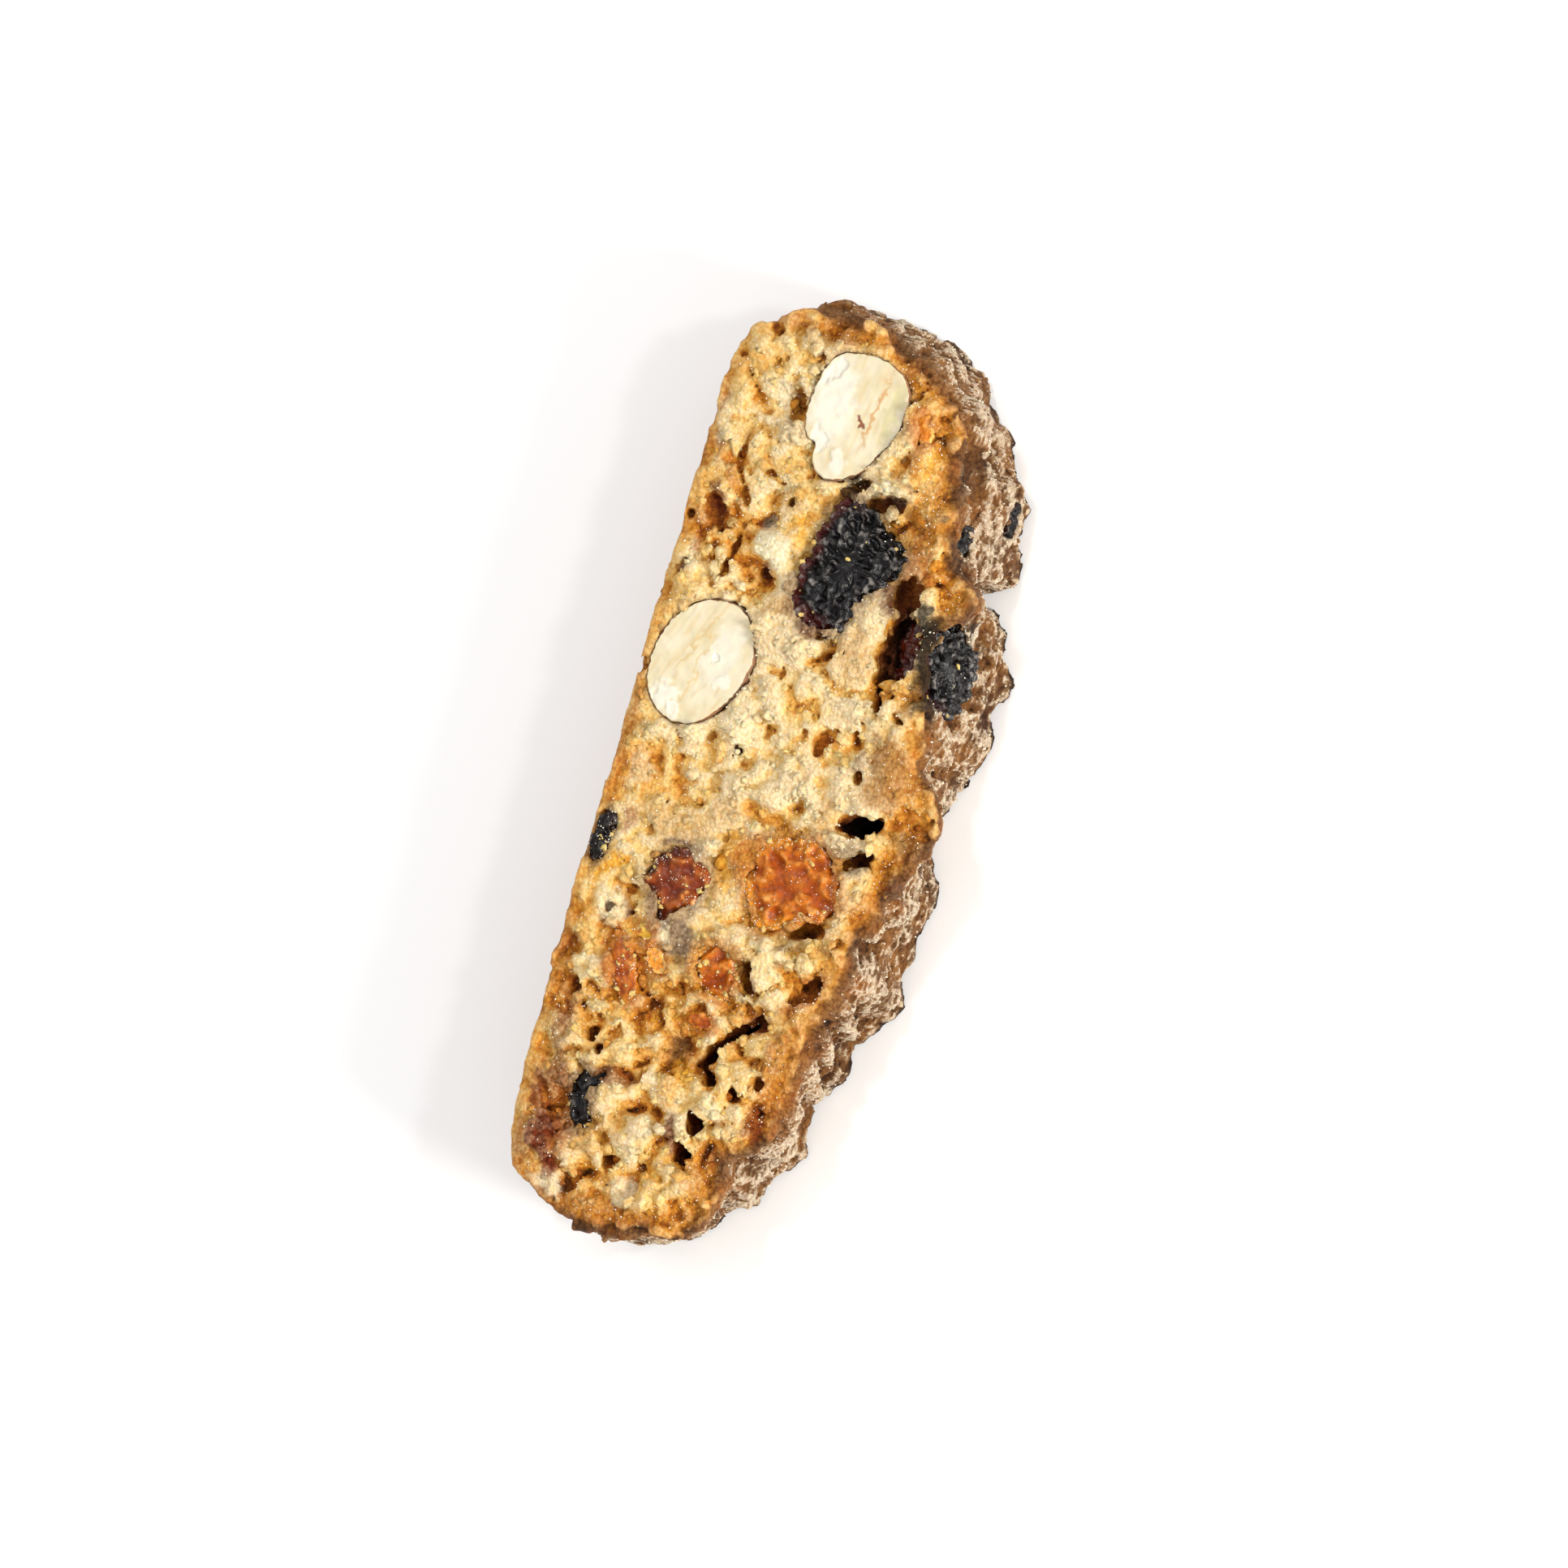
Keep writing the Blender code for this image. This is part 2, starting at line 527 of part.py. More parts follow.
def fruit_mesh(half_length, half_width, lobes, rise, depth, wrinkle, steps, grow):
    # Rings from the bottom up; grow makes the pocket's cutter, which reaches out through the surface
    if grow:
        rise += POCKET_MOUTH
    heights = []
    for k in range(1, FRUIT_LEVELS + 1):
        heights.append(-math.cos(math.pi * 0.5 * k / (FRUIT_LEVELS + 0.5)))
    levels = [(h, depth) for h in heights] + [(0.0, rise)] + [(-h, rise) for h in reversed(heights[1:])]
    rings = []
    for h, reach in levels:
        size = max(0.0, 1.0 - abs(h) ** (2.0 / FRUIT_SQUARE)) ** (0.5 * FRUIT_SQUARE)
        ring = []
        for k in range(steps):
            angle = 360.0 * k / steps
            a = math.radians(angle)
            radius = section_radius(angle, half_length, half_width, lobes) * size
            fold = grain(radius * math.cos(a), radius * math.sin(a), h * reach, 1.3, half_length)
            radius += wrinkle * fold * size + grow
            z = h * reach
            if h > 0.0:
                lift = 0.6 * wrinkle * grain(radius * math.sin(a), radius * math.cos(a), h, 0.9, half_width)
                z += grow or lift
            elif h < 0.0:
                z -= grow
            ring.append((radius * math.cos(a), radius * math.sin(a), z))
        rings.append(ring)
    return ring_solid(rings, (0.0, 0.0, -depth - grow), (0.0, 0.0, rise + grow))


def add_boolean(body, group):
    cut = body.modifiers.new("pockets", "BOOLEAN")
    cut.operation = "DIFFERENCE"
    cut.operand_type = "COLLECTION"
    cut.collection = group
    cut.solver = "EXACT"


def build():
    clear_scene()
    part_group = make_collection("cantuccini")
    pocket_group = make_collection("pockets")
    materials = {name: make_material(name) for name in MATERIALS}
    verts, faces = dough_mesh()
    dough = make_object("dough", verts, faces, CENTRE_SHIFT, part_group, materials["dough_crumb"])

    for name, x, y, half_length, half_width, turn, lobes, shift, shrink in NUTS:
        for grow, group in ((0.0, part_group), (GAP, pocket_group)):
            verts, faces = nut_mesh(half_length, half_width, lobes, shift, shrink, grow)
            nut = make_object(name + "_pocket" if grow else name, verts, faces, (x, y, 0.0), group)
            nut.rotation_euler = (0.0, 0.0, math.radians(turn))
            if not grow:
                nut.data.materials.append(materials["almond_kernel"])

    for row in FRUIT:
        name, x, y, z, half_length, half_width, turn, tilt, rise, depth, wrinkle, steps, material, lobes = row
        for grow, group in ((0.0, part_group), (GAP, pocket_group)):
            verts, faces = fruit_mesh(half_length, half_width, lobes, rise, depth, wrinkle, steps, grow)
            fruit = make_object(name + "_pocket" if grow else name, verts, faces, (x, y, z), group)
            fruit.rotation_mode = "ZXY"
            fruit.rotation_euler = (math.radians(tilt), 0.0, math.radians(turn))
            if not grow:
                fruit.data.materials.append(materials[material])

    for cutter in pocket_group.objects:
        cutter.hide_render = True
        cutter.display_type = "WIRE"
        cutter.parent = dough
    for piece in part_group.objects:
        if piece is not dough:
            piece.parent = dough
    add_boolean(dough, pocket_group)


build()
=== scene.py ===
import json
import math
import time
import bmesh
import bpy
import numpy as np
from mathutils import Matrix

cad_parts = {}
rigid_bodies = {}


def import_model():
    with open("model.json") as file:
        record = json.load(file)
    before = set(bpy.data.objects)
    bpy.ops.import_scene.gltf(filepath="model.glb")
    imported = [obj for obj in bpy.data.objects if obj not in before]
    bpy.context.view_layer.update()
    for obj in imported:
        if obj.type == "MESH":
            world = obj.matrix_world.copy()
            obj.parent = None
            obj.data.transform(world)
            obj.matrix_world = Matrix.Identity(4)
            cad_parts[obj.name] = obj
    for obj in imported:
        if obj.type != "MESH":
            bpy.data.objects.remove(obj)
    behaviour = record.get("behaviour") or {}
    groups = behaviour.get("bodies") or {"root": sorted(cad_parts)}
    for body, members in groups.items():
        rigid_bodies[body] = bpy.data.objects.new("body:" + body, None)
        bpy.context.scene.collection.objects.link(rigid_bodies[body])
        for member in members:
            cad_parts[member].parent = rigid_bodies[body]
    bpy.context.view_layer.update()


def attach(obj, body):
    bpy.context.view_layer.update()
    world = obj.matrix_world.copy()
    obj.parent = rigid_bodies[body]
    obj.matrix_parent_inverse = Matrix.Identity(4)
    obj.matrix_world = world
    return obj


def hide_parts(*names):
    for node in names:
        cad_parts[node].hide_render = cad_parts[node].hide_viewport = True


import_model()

import openvdb
from mathutils import Matrix, Vector

startTime = time.time()
mm = 0.001


def say(text):
    print("[slice] %5.1f s  %s" % (time.time() - startTime, text))


# everything below is in millimetres in the CAD frame until the mesh is filled
loaf = {
    "thickness": 15.0,
    "shift": (0.15, -0.05),         # same small centring shift as the solids
    "edge": (                       # cut face edge, flat base at +Y, domed crust at -Y
        (43.0, 6.2), (41.2, 11.9), (37.2, 15.0), (17.0, 15.8), (-4.0, 16.1), (-22.0, 16.7),
        (-38.6, 15.8), (-42.6, 12.0), (-44.3, 6.6), (-42.9, 0.4), (-38.5, -4.4), (-32.0, -7.6),
        (-24.0, -9.6), (-15.0, -11.8), (-5.0, -13.4), (6.0, -13.6), (17.0, -12.8), (28.0, -10.6),
        (36.6, -7.4), (41.2, -1.6)),
    "lobes": (                      # x, spread, outward at the cut, outward at the foot
        (-40.6, 2.2, 1.7, -1.6), (-35.6, 1.6, -1.6, -0.8), (-29.0, 3.4, 1.4, -1.7), (-22.5, 2.4, 0.0, -1.0),
        (-16.6, 2.0, 0.2, 1.3), (-13.2, 1.6, -1.2, 0.0), (-0.6, 4.2, 3.2, -2.5), (4.9, 1.2, -0.9, -0.5),
        (9.0, 3.0, -1.3, 0.4), (14.2, 2.6, -0.8, 1.2), (20.2, 1.9, 1.9, -0.4), (25.2, 2.4, -1.1, 1.1),
        (30.2, 2.6, -0.7, 1.8), (36.0, 2.0, 0.8, 0.5), (41.8, 3.0, 0.2, 1.3)),
    "folds": (                      # x, z of both ends, width, rise
        (43.5, 11.2, 36.5, 10.4, 1.9, 0.75), (36.5, 10.4, 28.5, 7.6, 1.8, 0.7),
        (34.0, 4.4, 27.0, 3.4, 2.0, 0.5),
        (12.4, 6.0, 6.8, 9.6, 2.0, 0.6), (19.6, 5.0, 16.0, 4.0, 2.4, 0.5), (3.4, 8.0, -4.0, 5.4, 2.4, 0.5),
        (-18.6, 12.6, -21.2, 4.4, 1.3, 0.75), (-21.4, 12.8, -24.2, 4.6, 1.3, 0.8),
        (-24.2, 12.4, -27.4, 4.2, 1.4, 0.7), (-29.0, 11.4, -35.2, 6.4, 1.6, 0.7),
        (-14.0, 7.4, -15.6, 4.6, 2.6, 0.8), (-36.6, 7.0, -38.6, 5.0, 2.2, 1.0),
        (-40.6, 9.4, -43.6, 5.0, 1.8, 0.5), (-7.0, 11.6, -11.4, 7.0, 1.6, 0.5)),
    "cleft": (21.7, 0.75, 4.2, 12.5),    # x, width, depth, height where it closes
    "footLevel": 4.0,
    "crustBelow": 13.5, "crustFade": 7.0,           # y where the baked crust begins
    "foldGroove": 0.4,
    "voxel": 0.3,
    "reach": ((-46.5, 46.6), (-19.0, 19.1), (-1.2, 17.4)),
    "rim": 0.5, "rimDrop": 0.8, "rimWidth": 2.4,    # rounding of the cut's edge, and how far it sags
    "crownTop": 0.75,               # the cut face's lumps stand no higher than this above it
    "lowerShare": 0.7,              # relief of the lower cut face against the upper one
    "pores": 80,                    # small ragged ones, three of four in the upper cut face
    "highest": 16.1,                # loose crumbs are pushed down below this
}


# gradient and cell noise on arrays of points
gradientTable = {}


def gradients(seed):
    if seed not in gradientTable:
        g = np.random.default_rng(seed).normal(size=(4096, 3))
        gradientTable[seed] = (g / np.linalg.norm(g, axis=1)[:, None]).astype(np.float32)
    return gradientTable[seed]


def cellKey(ix, iy, iz):
    return (ix * 73856093 ^ iy * 19349663 ^ iz * 83492791) & 4095


def cells(x, y, z, size, seed):
    shifted = tuple(np.asarray(v, np.float32) / size + 0.37 * seed for v in (x, y, z))
    whole = tuple(np.floor(v).astype(np.int32) for v in shifted)
    return shifted, whole


def softNoise(x, y, z, size, seed):
    # Perlin noise, about -1..1, one bump per size
    g = gradients(seed)
    (x, y, z), (ix, iy, iz) = cells(x, y, z, size, seed)
    fx, fy, fz = x - ix, y - iy, z - iz
    ux, uy, uz = (f * f * f * (f * (f * 6 - 15) + 10) for f in (fx, fy, fz))
    total = 0.0
    for a in (0, 1):
        wx = ux if a else 1 - ux
        for b in (0, 1):
            wy = uy if b else 1 - uy
            for c in (0, 1):
                wz = uz if c else 1 - uz
                v = g[cellKey(ix + a, iy + b, iz + c)]
                slope = v[..., 0] * (fx - a) + v[..., 1] * (fy - b) + v[..., 2] * (fz - c)
                total = total + wx * wy * wz * slope
    return total * 1.55


def layered(start, x, y, z, *layers):
    # a start value with several noises on top, each as amount, bump size and seed
    for amount, size, seed in layers:
        start = start + amount * softNoise(x, y, z, size, seed)
    return start


def cellNoise(x, y, z, size, seed):
    # distance to the nearest and second nearest scattered point, in units of size
    g = gradients(seed)
    (x, y, z), (ix, iy, iz) = cells(x, y, z, size, seed)
    near = np.full(np.shape(x), 9.0, np.float32)
    second = np.full(np.shape(x), 9.0, np.float32)
    for a in (-1, 0, 1):
        for b in (-1, 0, 1):
            for c in (-1, 0, 1):
                v = g[cellKey(ix + a, iy + b, iz + c)]
                dx = ix + a + 0.5 + 0.5 * v[..., 0] - x
                dy = iy + b + 0.5 + 0.5 * v[..., 1] - y
                dz = iz + c + 0.5 + 0.5 * v[..., 2] - z
                d = dx * dx + dy * dy + dz * dz
                second = np.minimum(second, np.maximum(near, d))
                near = np.minimum(near, d)
    return np.sqrt(near), np.sqrt(second)


def ease(v):
    v = np.clip(v, 0.0, 1.0)
    return v * v * (3.0 - 2.0 * v)


def stairs(v, sharp):
    # whole steps with short ramps between them
    low = np.floor(v)
    return low + ease((v - low - 0.5) * sharp + 0.5)


def domes(x, y, z, size, seed):
    # round grains with creases between them, 0 in the creases and 1 on top
    near, _second = cellNoise(x, y, z, size, seed)
    return np.clip(1.0 - (near / 0.85) ** 2, 0.0, 1.0)


# the loaf's outline and wall
def closedCurve(stations, steps):
    p = np.array(stations)
    a, b, c, d = np.roll(p, 1, 0), p, np.roll(p, -1, 0), np.roll(p, -2, 0)
    t = np.linspace(0, 1, steps, endpoint=False)[None, :, None]
    a, b, c, d = (v[:, None, :] for v in (a, b, c, d))
    q = 0.5 * (2 * b + (c - a) * t + (2 * a - 5 * b + 4 * c - d) * t ** 2 + (3 * b - a - 3 * c + d) * t ** 3)
    q = q.reshape(-1, 2)
    along = np.roll(q, -1, 0) - np.roll(q, 1, 0)
    out = np.stack([along[:, 1], -along[:, 0]], 1)
    return q, out / np.linalg.norm(out, axis=1)[:, None]


def pathDistance(x, y, points):
    best = np.full(np.shape(x), 99.0)
    for (ax, ay), (bx, by) in zip(points, points[1:]):
        t = np.clip(((x - ax) * (bx - ax) + (y - ay) * (by - ay)) / ((bx - ax) ** 2 + (by - ay) ** 2), 0, 1)
        best = np.minimum(best, np.hypot(x - ax - t * (bx - ax), y - ay - t * (by - ay)))
    return best


def ovalDistance(x, y, cx, cy, length, width, turn):
    a = math.radians(turn)
    dx, dy = x - cx, y - cy
    along, across = dx * math.cos(a) + dy * math.sin(a), dy * math.cos(a) - dx * math.sin(a)
    return np.hypot(along / (0.5 * length), across / (0.5 * width))


def crustSide(y):
    return ease((loaf["crustBelow"] - y) / loaf["crustFade"])


def wallOffset(x, y, z):
    foot = 1.0 - ease((z - loaf["footLevel"]) / (loaf["thickness"] - loaf["footLevel"]))
    side = crustSide(y)
    amount = 0.0 * (x + z)
    for place, spread, atCut, atFoot in loaf["lobes"]:
        amount = amount + np.exp(-((x - place) / spread) ** 2) * side * (atCut * (1 - foot) + atFoot * foot)
    for x0, z0, x1, z1, width, rise in loaf["folds"]:
        away = pathDistance(x + 0 * z, z + 0 * x, ((x0, z0), (x1, z1))) / width
        groove = ease(1.0 - np.abs(away - 1.3) / 0.7)
        amount = amount + side * rise * (1.0 - ease(away) - loaf["foldGroove"] * groove)
    cx, width, depth, top = loaf["cleft"]
    amount = amount - side * depth * np.exp(-((x - cx) / width) ** 2) * ease(1.6 * (1.0 - z / top))
    return amount


crags = {                           # browned side, as height and spacing
    "bend": (0.9, 3.0), "ridges": (0.3, 4.4), "slabs": (0.34, 3.6), "knobs": (0.2, 2.1), "plain": (0.07, 2.2),
}


def wallRelief(x, y, z):
    # crags and slabs of the browned side, plainer on the flat base
    side = crustSide(y)
    wx, wz = (layered(v, x, y, z, (*crags["bend"], seed)) for v, seed in ((x, 71), (z, 72)))
    ridge = 1.0 - 2.4 * np.abs(softNoise(wx + 0.5 * wz, y, 0.6 * wz, crags["ridges"][1], 21))
    slab = crags["slabs"][0] * stairs(1.9 * softNoise(wx, y, wz, crags["slabs"][1], 73), 3.0)
    crust = layered(crags["ridges"][0] * ridge + 0.6 * slab, x, y, z, (*crags["knobs"], 22))
    return crust * side + layered(0.0, x, y, z, (*crags["plain"], 24)) * (1 - side)


# nuts, with the same sections as the solids; skinless is an arc in degrees, and the marks on the
# sawn face are x, y, length, width, turn, tone, strength, lift
nuts = {
    "almond_upper": dict(
        at=(34.3, 1.6), half=(5.9, 4.7), turn=-6, drift=(-3.4, 0.8), shrink=0.74, skinless=(95, 175),
        lobes=((40, 24, 0.7), (-42, 24, 0.7), (142, 9, -0.9), (-128, 26, -0.6), (172, 16, 0.5)),
        marks=((35.2, 3.9, 9.0, 4.6, 0, "dedacb", 0.8, 0.05),
               (38.2, 4.6, 3.2, 1.5, -30, "dedacb", 0.9, -0.25),
               (31.6, 4.4, 2.4, 1.6, 30, "dedacb", 0.9, -0.2),
               (29.9, 2.0, 2.6, 1.8, 0, "dedacb", 0.8, 0.1),
               (35.2, -0.3, 7.4, 0.5, -8, "c28a46", 0.7, 0.0),
               (35.6, -1.9, 7.0, 1.5, -10, "c4ba88", 0.6, -0.05),
               (34.0, 0.8, 1.6, 0.6, 12, "7a3312", 0.9, -0.12))),
    "almond_middle": dict(
        at=(8.9, 9.95), half=(6.2, 4.7), turn=-22, drift=(2.6, -2.4), shrink=0.66, skinless=(0, 0),
        lobes=((205, 20, 0.25), (60, 25, 0.15), (-50, 22, 0.15)),
        marks=((10.0, 8.0, 7.0, 3.6, -22, "dedacb", 0.6, 0.0),
               (5.0, 12.6, 3.0, 2.6, 0, "dedacb", 0.9, 0.22),
               (3.9, 11.4, 1.6, 1.2, 0, "dedacb", 0.9, 0.15),
               (9.4, 8.7, 1.2, 0.7, 20, "dedacb", 0.9, -0.2),
               (10.6, 10.6, 8.0, 0.4, -30, "c9ab70", 0.6, 0.0),
               (8.0, 10.2, 7.0, 0.35, -14, "c9ab70", 0.5, 0.0),
               (7.4, 7.4, 2.2, 1.2, -30, "dedacb", 0.8, 0.05))),
}

# kinds of fruit: folds and grain are heights in mm with their sizes, ragged is how uneven the outline is,
# edgeSide tells how much of the edge takes the edge tone, and a halo stains the dough around
# the ridge tone, lighter on the fold tops, is painted highlight, and the fleck tone on the peaks is painted
# glints
plum = dict(slot="dark_plum", rings=100, around=230, turn=0, tilt=0, ragged=0.4, folds=0.42, foldSize=1.1,
            grain=0.42, grainSize=0.4, body="040203", ridge="0a0405", edge="48100a", edgeSide=0.3,
            fleck="8d8780", glintFleckShare=0.6, halo="6a3a18", haloShare=0.55, haloReach=1.3)
raisin = dict(slot="dark_raisin", rings=36, around=90, turn=0, tilt=0, ragged=0.25, folds=0.25,
              foldSize=0.9, grain=0.14, grainSize=0.45, body="060303", ridge="100806", edge="2c0d08",
              edgeSide=0.6, fleck="8d8780", glintFleckShare=0.25, halo="6a3a18", haloShare=0.6, haloReach=0.9)
apricot = dict(slot="candied_apricot", rings=60, around=150, turn=0, tilt=0, ragged=0.35, folds=0.4,
               foldSize=1.7, grain=0.2, grainSize=0.5, body="943f03", ridge="bd6a0e", edge="c8801c",
               edgeSide=0.8, fleck="f0b060", glintFleckShare=0.5, halo="c98420", haloShare=0.75, haloReach=1.5)
peel = dict(slot="candied_peel", rings=36, around=90, turn=0, tilt=0, ragged=0.2, folds=0.12,
            foldSize=1.2, grain=0.12, grainSize=0.4, body="8e3c04", ridge="b8620c", edge="b87420",
            edgeSide=1.0, fleck="e0a058", glintFleckShare=0.4, halo="c9781c", haloShare=0.7, haloReach=1.0)
fruits = {
    "plum_centre": dict(
        plum, at=(20.8, -1.6, 14.5), half=(5.6, 4.3), rise=0.9, depth=8.0,
        lobes=((-68, 22, 1.3), (140, 26, 1.8), (16, 18, 0.9), (176, 16, 1.0), (-140, 26, -1.3),
               (-24, 14, -0.5), (75, 25, -0.4))),
    "plum_crust": dict(
        plum, at=(14.1, -12.1, 11.5), half=(4.2, 3.6), turn=15, tilt=58, rise=0.75, depth=4.4, rings=80,
        around=180,
        lobes=((10, 24, 0.5), (190, 24, 0.4), (80, 20, -0.4))),
    "raisin_top": dict(
        raisin, at=(25.5, -10.2, 11.3), half=(1.9, 1.5), turn=-14, tilt=62, rise=0.7, depth=2.2,
        lobes=((20, 24, 0.25), (190, 20, 0.2))),
    "raisin_rim": dict(
        raisin, at=(29.0, -11.9, 4.2), half=(1.9, 1.0), turn=-12, tilt=84, rise=0.5, depth=2.0,
        lobes=((0, 22, 0.2), (180, 22, 0.3))),
    "raisin_base": dict(
        raisin, at=(-9.2, 14.9, 14.4), half=(2.5, 1.0), turn=-6, tilt=-18, rise=0.8, depth=2.4,
        lobes=((0, 24, 0.3), (150, 20, 0.2))),
    "raisin_lower": dict(
        raisin, at=(-32.9, 9.9, 14.4), half=(3.1, 1.3), turn=6, rise=0.6, depth=3.0, around=140,
        lobes=((-40, 12, 1.9), (170, 20, 0.3), (60, 24, 0.2))),
    "apricot_large": dict(
        apricot, at=(-8.7, -4.5, 14.4), half=(4.2, 4.6), rise=0.7, depth=6.5,
        lobes=((-100, 20, 0.5), (150, 22, 0.9), (60, 26, 0.4), (-150, 20, -0.6))),
    "sultana": dict(
        apricot, at=(-11.3, 6.5, 14.4), half=(3.1, 2.7), rise=0.7, depth=4.5, piece="sultanaRed",
        slot="red_sultana", body="6c2503", ridge="9a4a0c", edge="3c1005", halo="8d6a52", haloShare=0.6,
        lobes=((172, 13, 1.3), (100, 16, 0.8), (-70, 22, 0.3))),
    "peel_red": dict(
        peel, at=(-20.3, 9.5, 14.5), half=(3.3, 1.25), turn=24, rise=0.4, depth=2.6,
        lobes=((0, 20, 0.2), (180, 20, 0.3))),
    "apricot_small": dict(
        apricot, at=(-18.4, 0.3, 14.4), half=(2.7, 1.9), turn=34, rise=0.5, depth=3.4,
        lobes=((-60, 22, 0.4), (120, 22, 0.3))),
    "peel_chip": dict(
        peel, at=(-23.2, 0.5, 14.5), half=(1.25, 0.8), turn=80, rise=0.4, depth=2.0,
        lobes=((20, 25, 0.2),)),
    "orange_upper": dict(
        peel, at=(34.8, -5.4, 14.5), half=(1.6, 0.8), turn=12, rise=0.3, depth=2.0, slot="orange_peel",
        body="d07f22", ridge="e09a3c", edge="e8b45c",
        lobes=((30, 25, 0.15),)),
    "orange_chip": dict(
        peel, at=(-18.9, 6.5, 14.5), half=(1.3, 0.9), turn=40, rise=0.35, depth=2.0, slot="orange_peel",
        body="e08a25", ridge="ee9f3a", edge="efb45c",
        lobes=((200, 25, 0.2),)),
    "citron_bit": dict(
        peel, at=(-16.6, 8.2, 14.5), half=(1.0, 0.8), turn=30, rise=0.35, depth=1.8, slot="yellow_citron",
        body="efb93c", ridge="f5cd5c", edge="f2c766",
        lobes=((90, 25, 0.15),)),
}


def sectionRadius(angle, half, lobes):
    a = np.radians(angle)
    r = half[0] * half[1] / np.hypot(half[1] * np.cos(a), half[0] * np.sin(a))
    for place, spread, amount in lobes:
        apart = (angle - place + 180.0) % 360.0 - 180.0
        r = r + amount * np.exp(-(apart / spread) ** 2)
    return r


def fruitMatrix(f):
    # the outline is turned in its own plane first, then tilted to face out of the wall
    m = Matrix.Rotation(math.radians(f["tilt"]), 3, "X") @ Matrix.Rotation(math.radians(f["turn"]), 3, "Z")
    return np.array(m)


def nutWay(z):
    # how far along its drift and shrinking the nut's section is, 1 at the lower cut face
    return np.interp(z, (0.0, 3.5, 8.0, 13.8, 15.0), (1.0, 0.75, 0.42, 0.08, 0.0))


def nutPocket(n, x, y, z):
    # distance outside the nut's section at this height
    way = nutWay(z)
    a = math.radians(n["turn"])
    dx, dy = x - n["at"][0], y - n["at"][1]
    u = dx * math.cos(a) + dy * math.sin(a) - n["drift"][0] * way
    v = dy * math.cos(a) - dx * math.sin(a) - n["drift"][1] * way
    size = 1.0 - (1.0 - n["shrink"]) * way
    return np.hypot(u, v) - size * sectionRadius(np.degrees(np.arctan2(v, u)), n["half"], n["lobes"])


def fruitPocket(f, x, y, z):
    # distance outside the fruit, with the pocket open above its widest section
    m = fruitMatrix(f)
    p = np.stack([x - f["at"][0], y - f["at"][1], z - f["at"][2]], -1) @ m
    r = np.hypot(p[..., 0], p[..., 1])
    edge = sectionRadius(np.degrees(np.arctan2(p[..., 1], p[..., 0])), f["half"], f["lobes"])
    below = np.hypot(r / edge, np.minimum(p[..., 2], 0.0) / f["depth"]) - 1.0
    return below * np.minimum(edge, f["depth"])


def piled(x, y, size, seed, spread):
    # tops of round lumps piled at uneven heights, about -1..1 in units of size
    g = gradients(seed)
    (x, y, _z), (ix, iy, _iz) = cells(x, y, 0 * x, size, seed)
    best = np.full(np.shape(x), -1.0, np.float32)
    for a in (-1, 0, 1):
        for b in (-1, 0, 1):
            v = g[cellKey(ix + a, iy + b, 0 * ix)]
            dx = ix + a + 0.5 + 0.5 * v[..., 0] - x
            dy = iy + b + 0.5 + 0.5 * v[..., 1] - y
            reach = 0.72 + 0.28 * v[..., 2]
            cap = np.sqrt(np.clip(reach * reach - dx * dx - dy * dy, 0.0, None))
            best = np.maximum(best, np.where(cap > 0, cap - 0.55 + spread * v[..., 2], -1.0))
    return best


calmPlaces = (                      # smooth gluey dough and whole pale lumps: x, y, length, width
    (21.4, 5.4, 5.4, 5.4), (3.6, 5.0, 7.0, 3.6), (-15.2, 12.4, 4.0, 4.0), (-30.4, 1.8, 4.4, 3.6),
    (-6.0, 8.0, 5.0, 9.0), (-4.0, 3.6, 4.0, 4.0), (25.2, 5.2, 4.0, 3.0), (15.8, 3.8, 3.4, 3.4),
    (22.0, -8.0, 8.0, 4.0), (-24.0, -7.6, 8.0, 4.0), (13.0, -4.6, 6.0, 4.0), (-16.6, 4.6, 4.4, 4.0),
    (4.0, -11.0, 8.0, 5.0))
sawn = {                            # relief of a sawn crumb face, as height and spacing
    "bend": (0.9, 2.2), "bendFine": (0.32, 0.8), "lumps": (0.75, 2.2), "grains": (0.4, 0.95),
    "torn": (1.3, 6.5, 3.0), "small": (0.7, 2.0), "level": 0.3, "calm": 0.3,
}


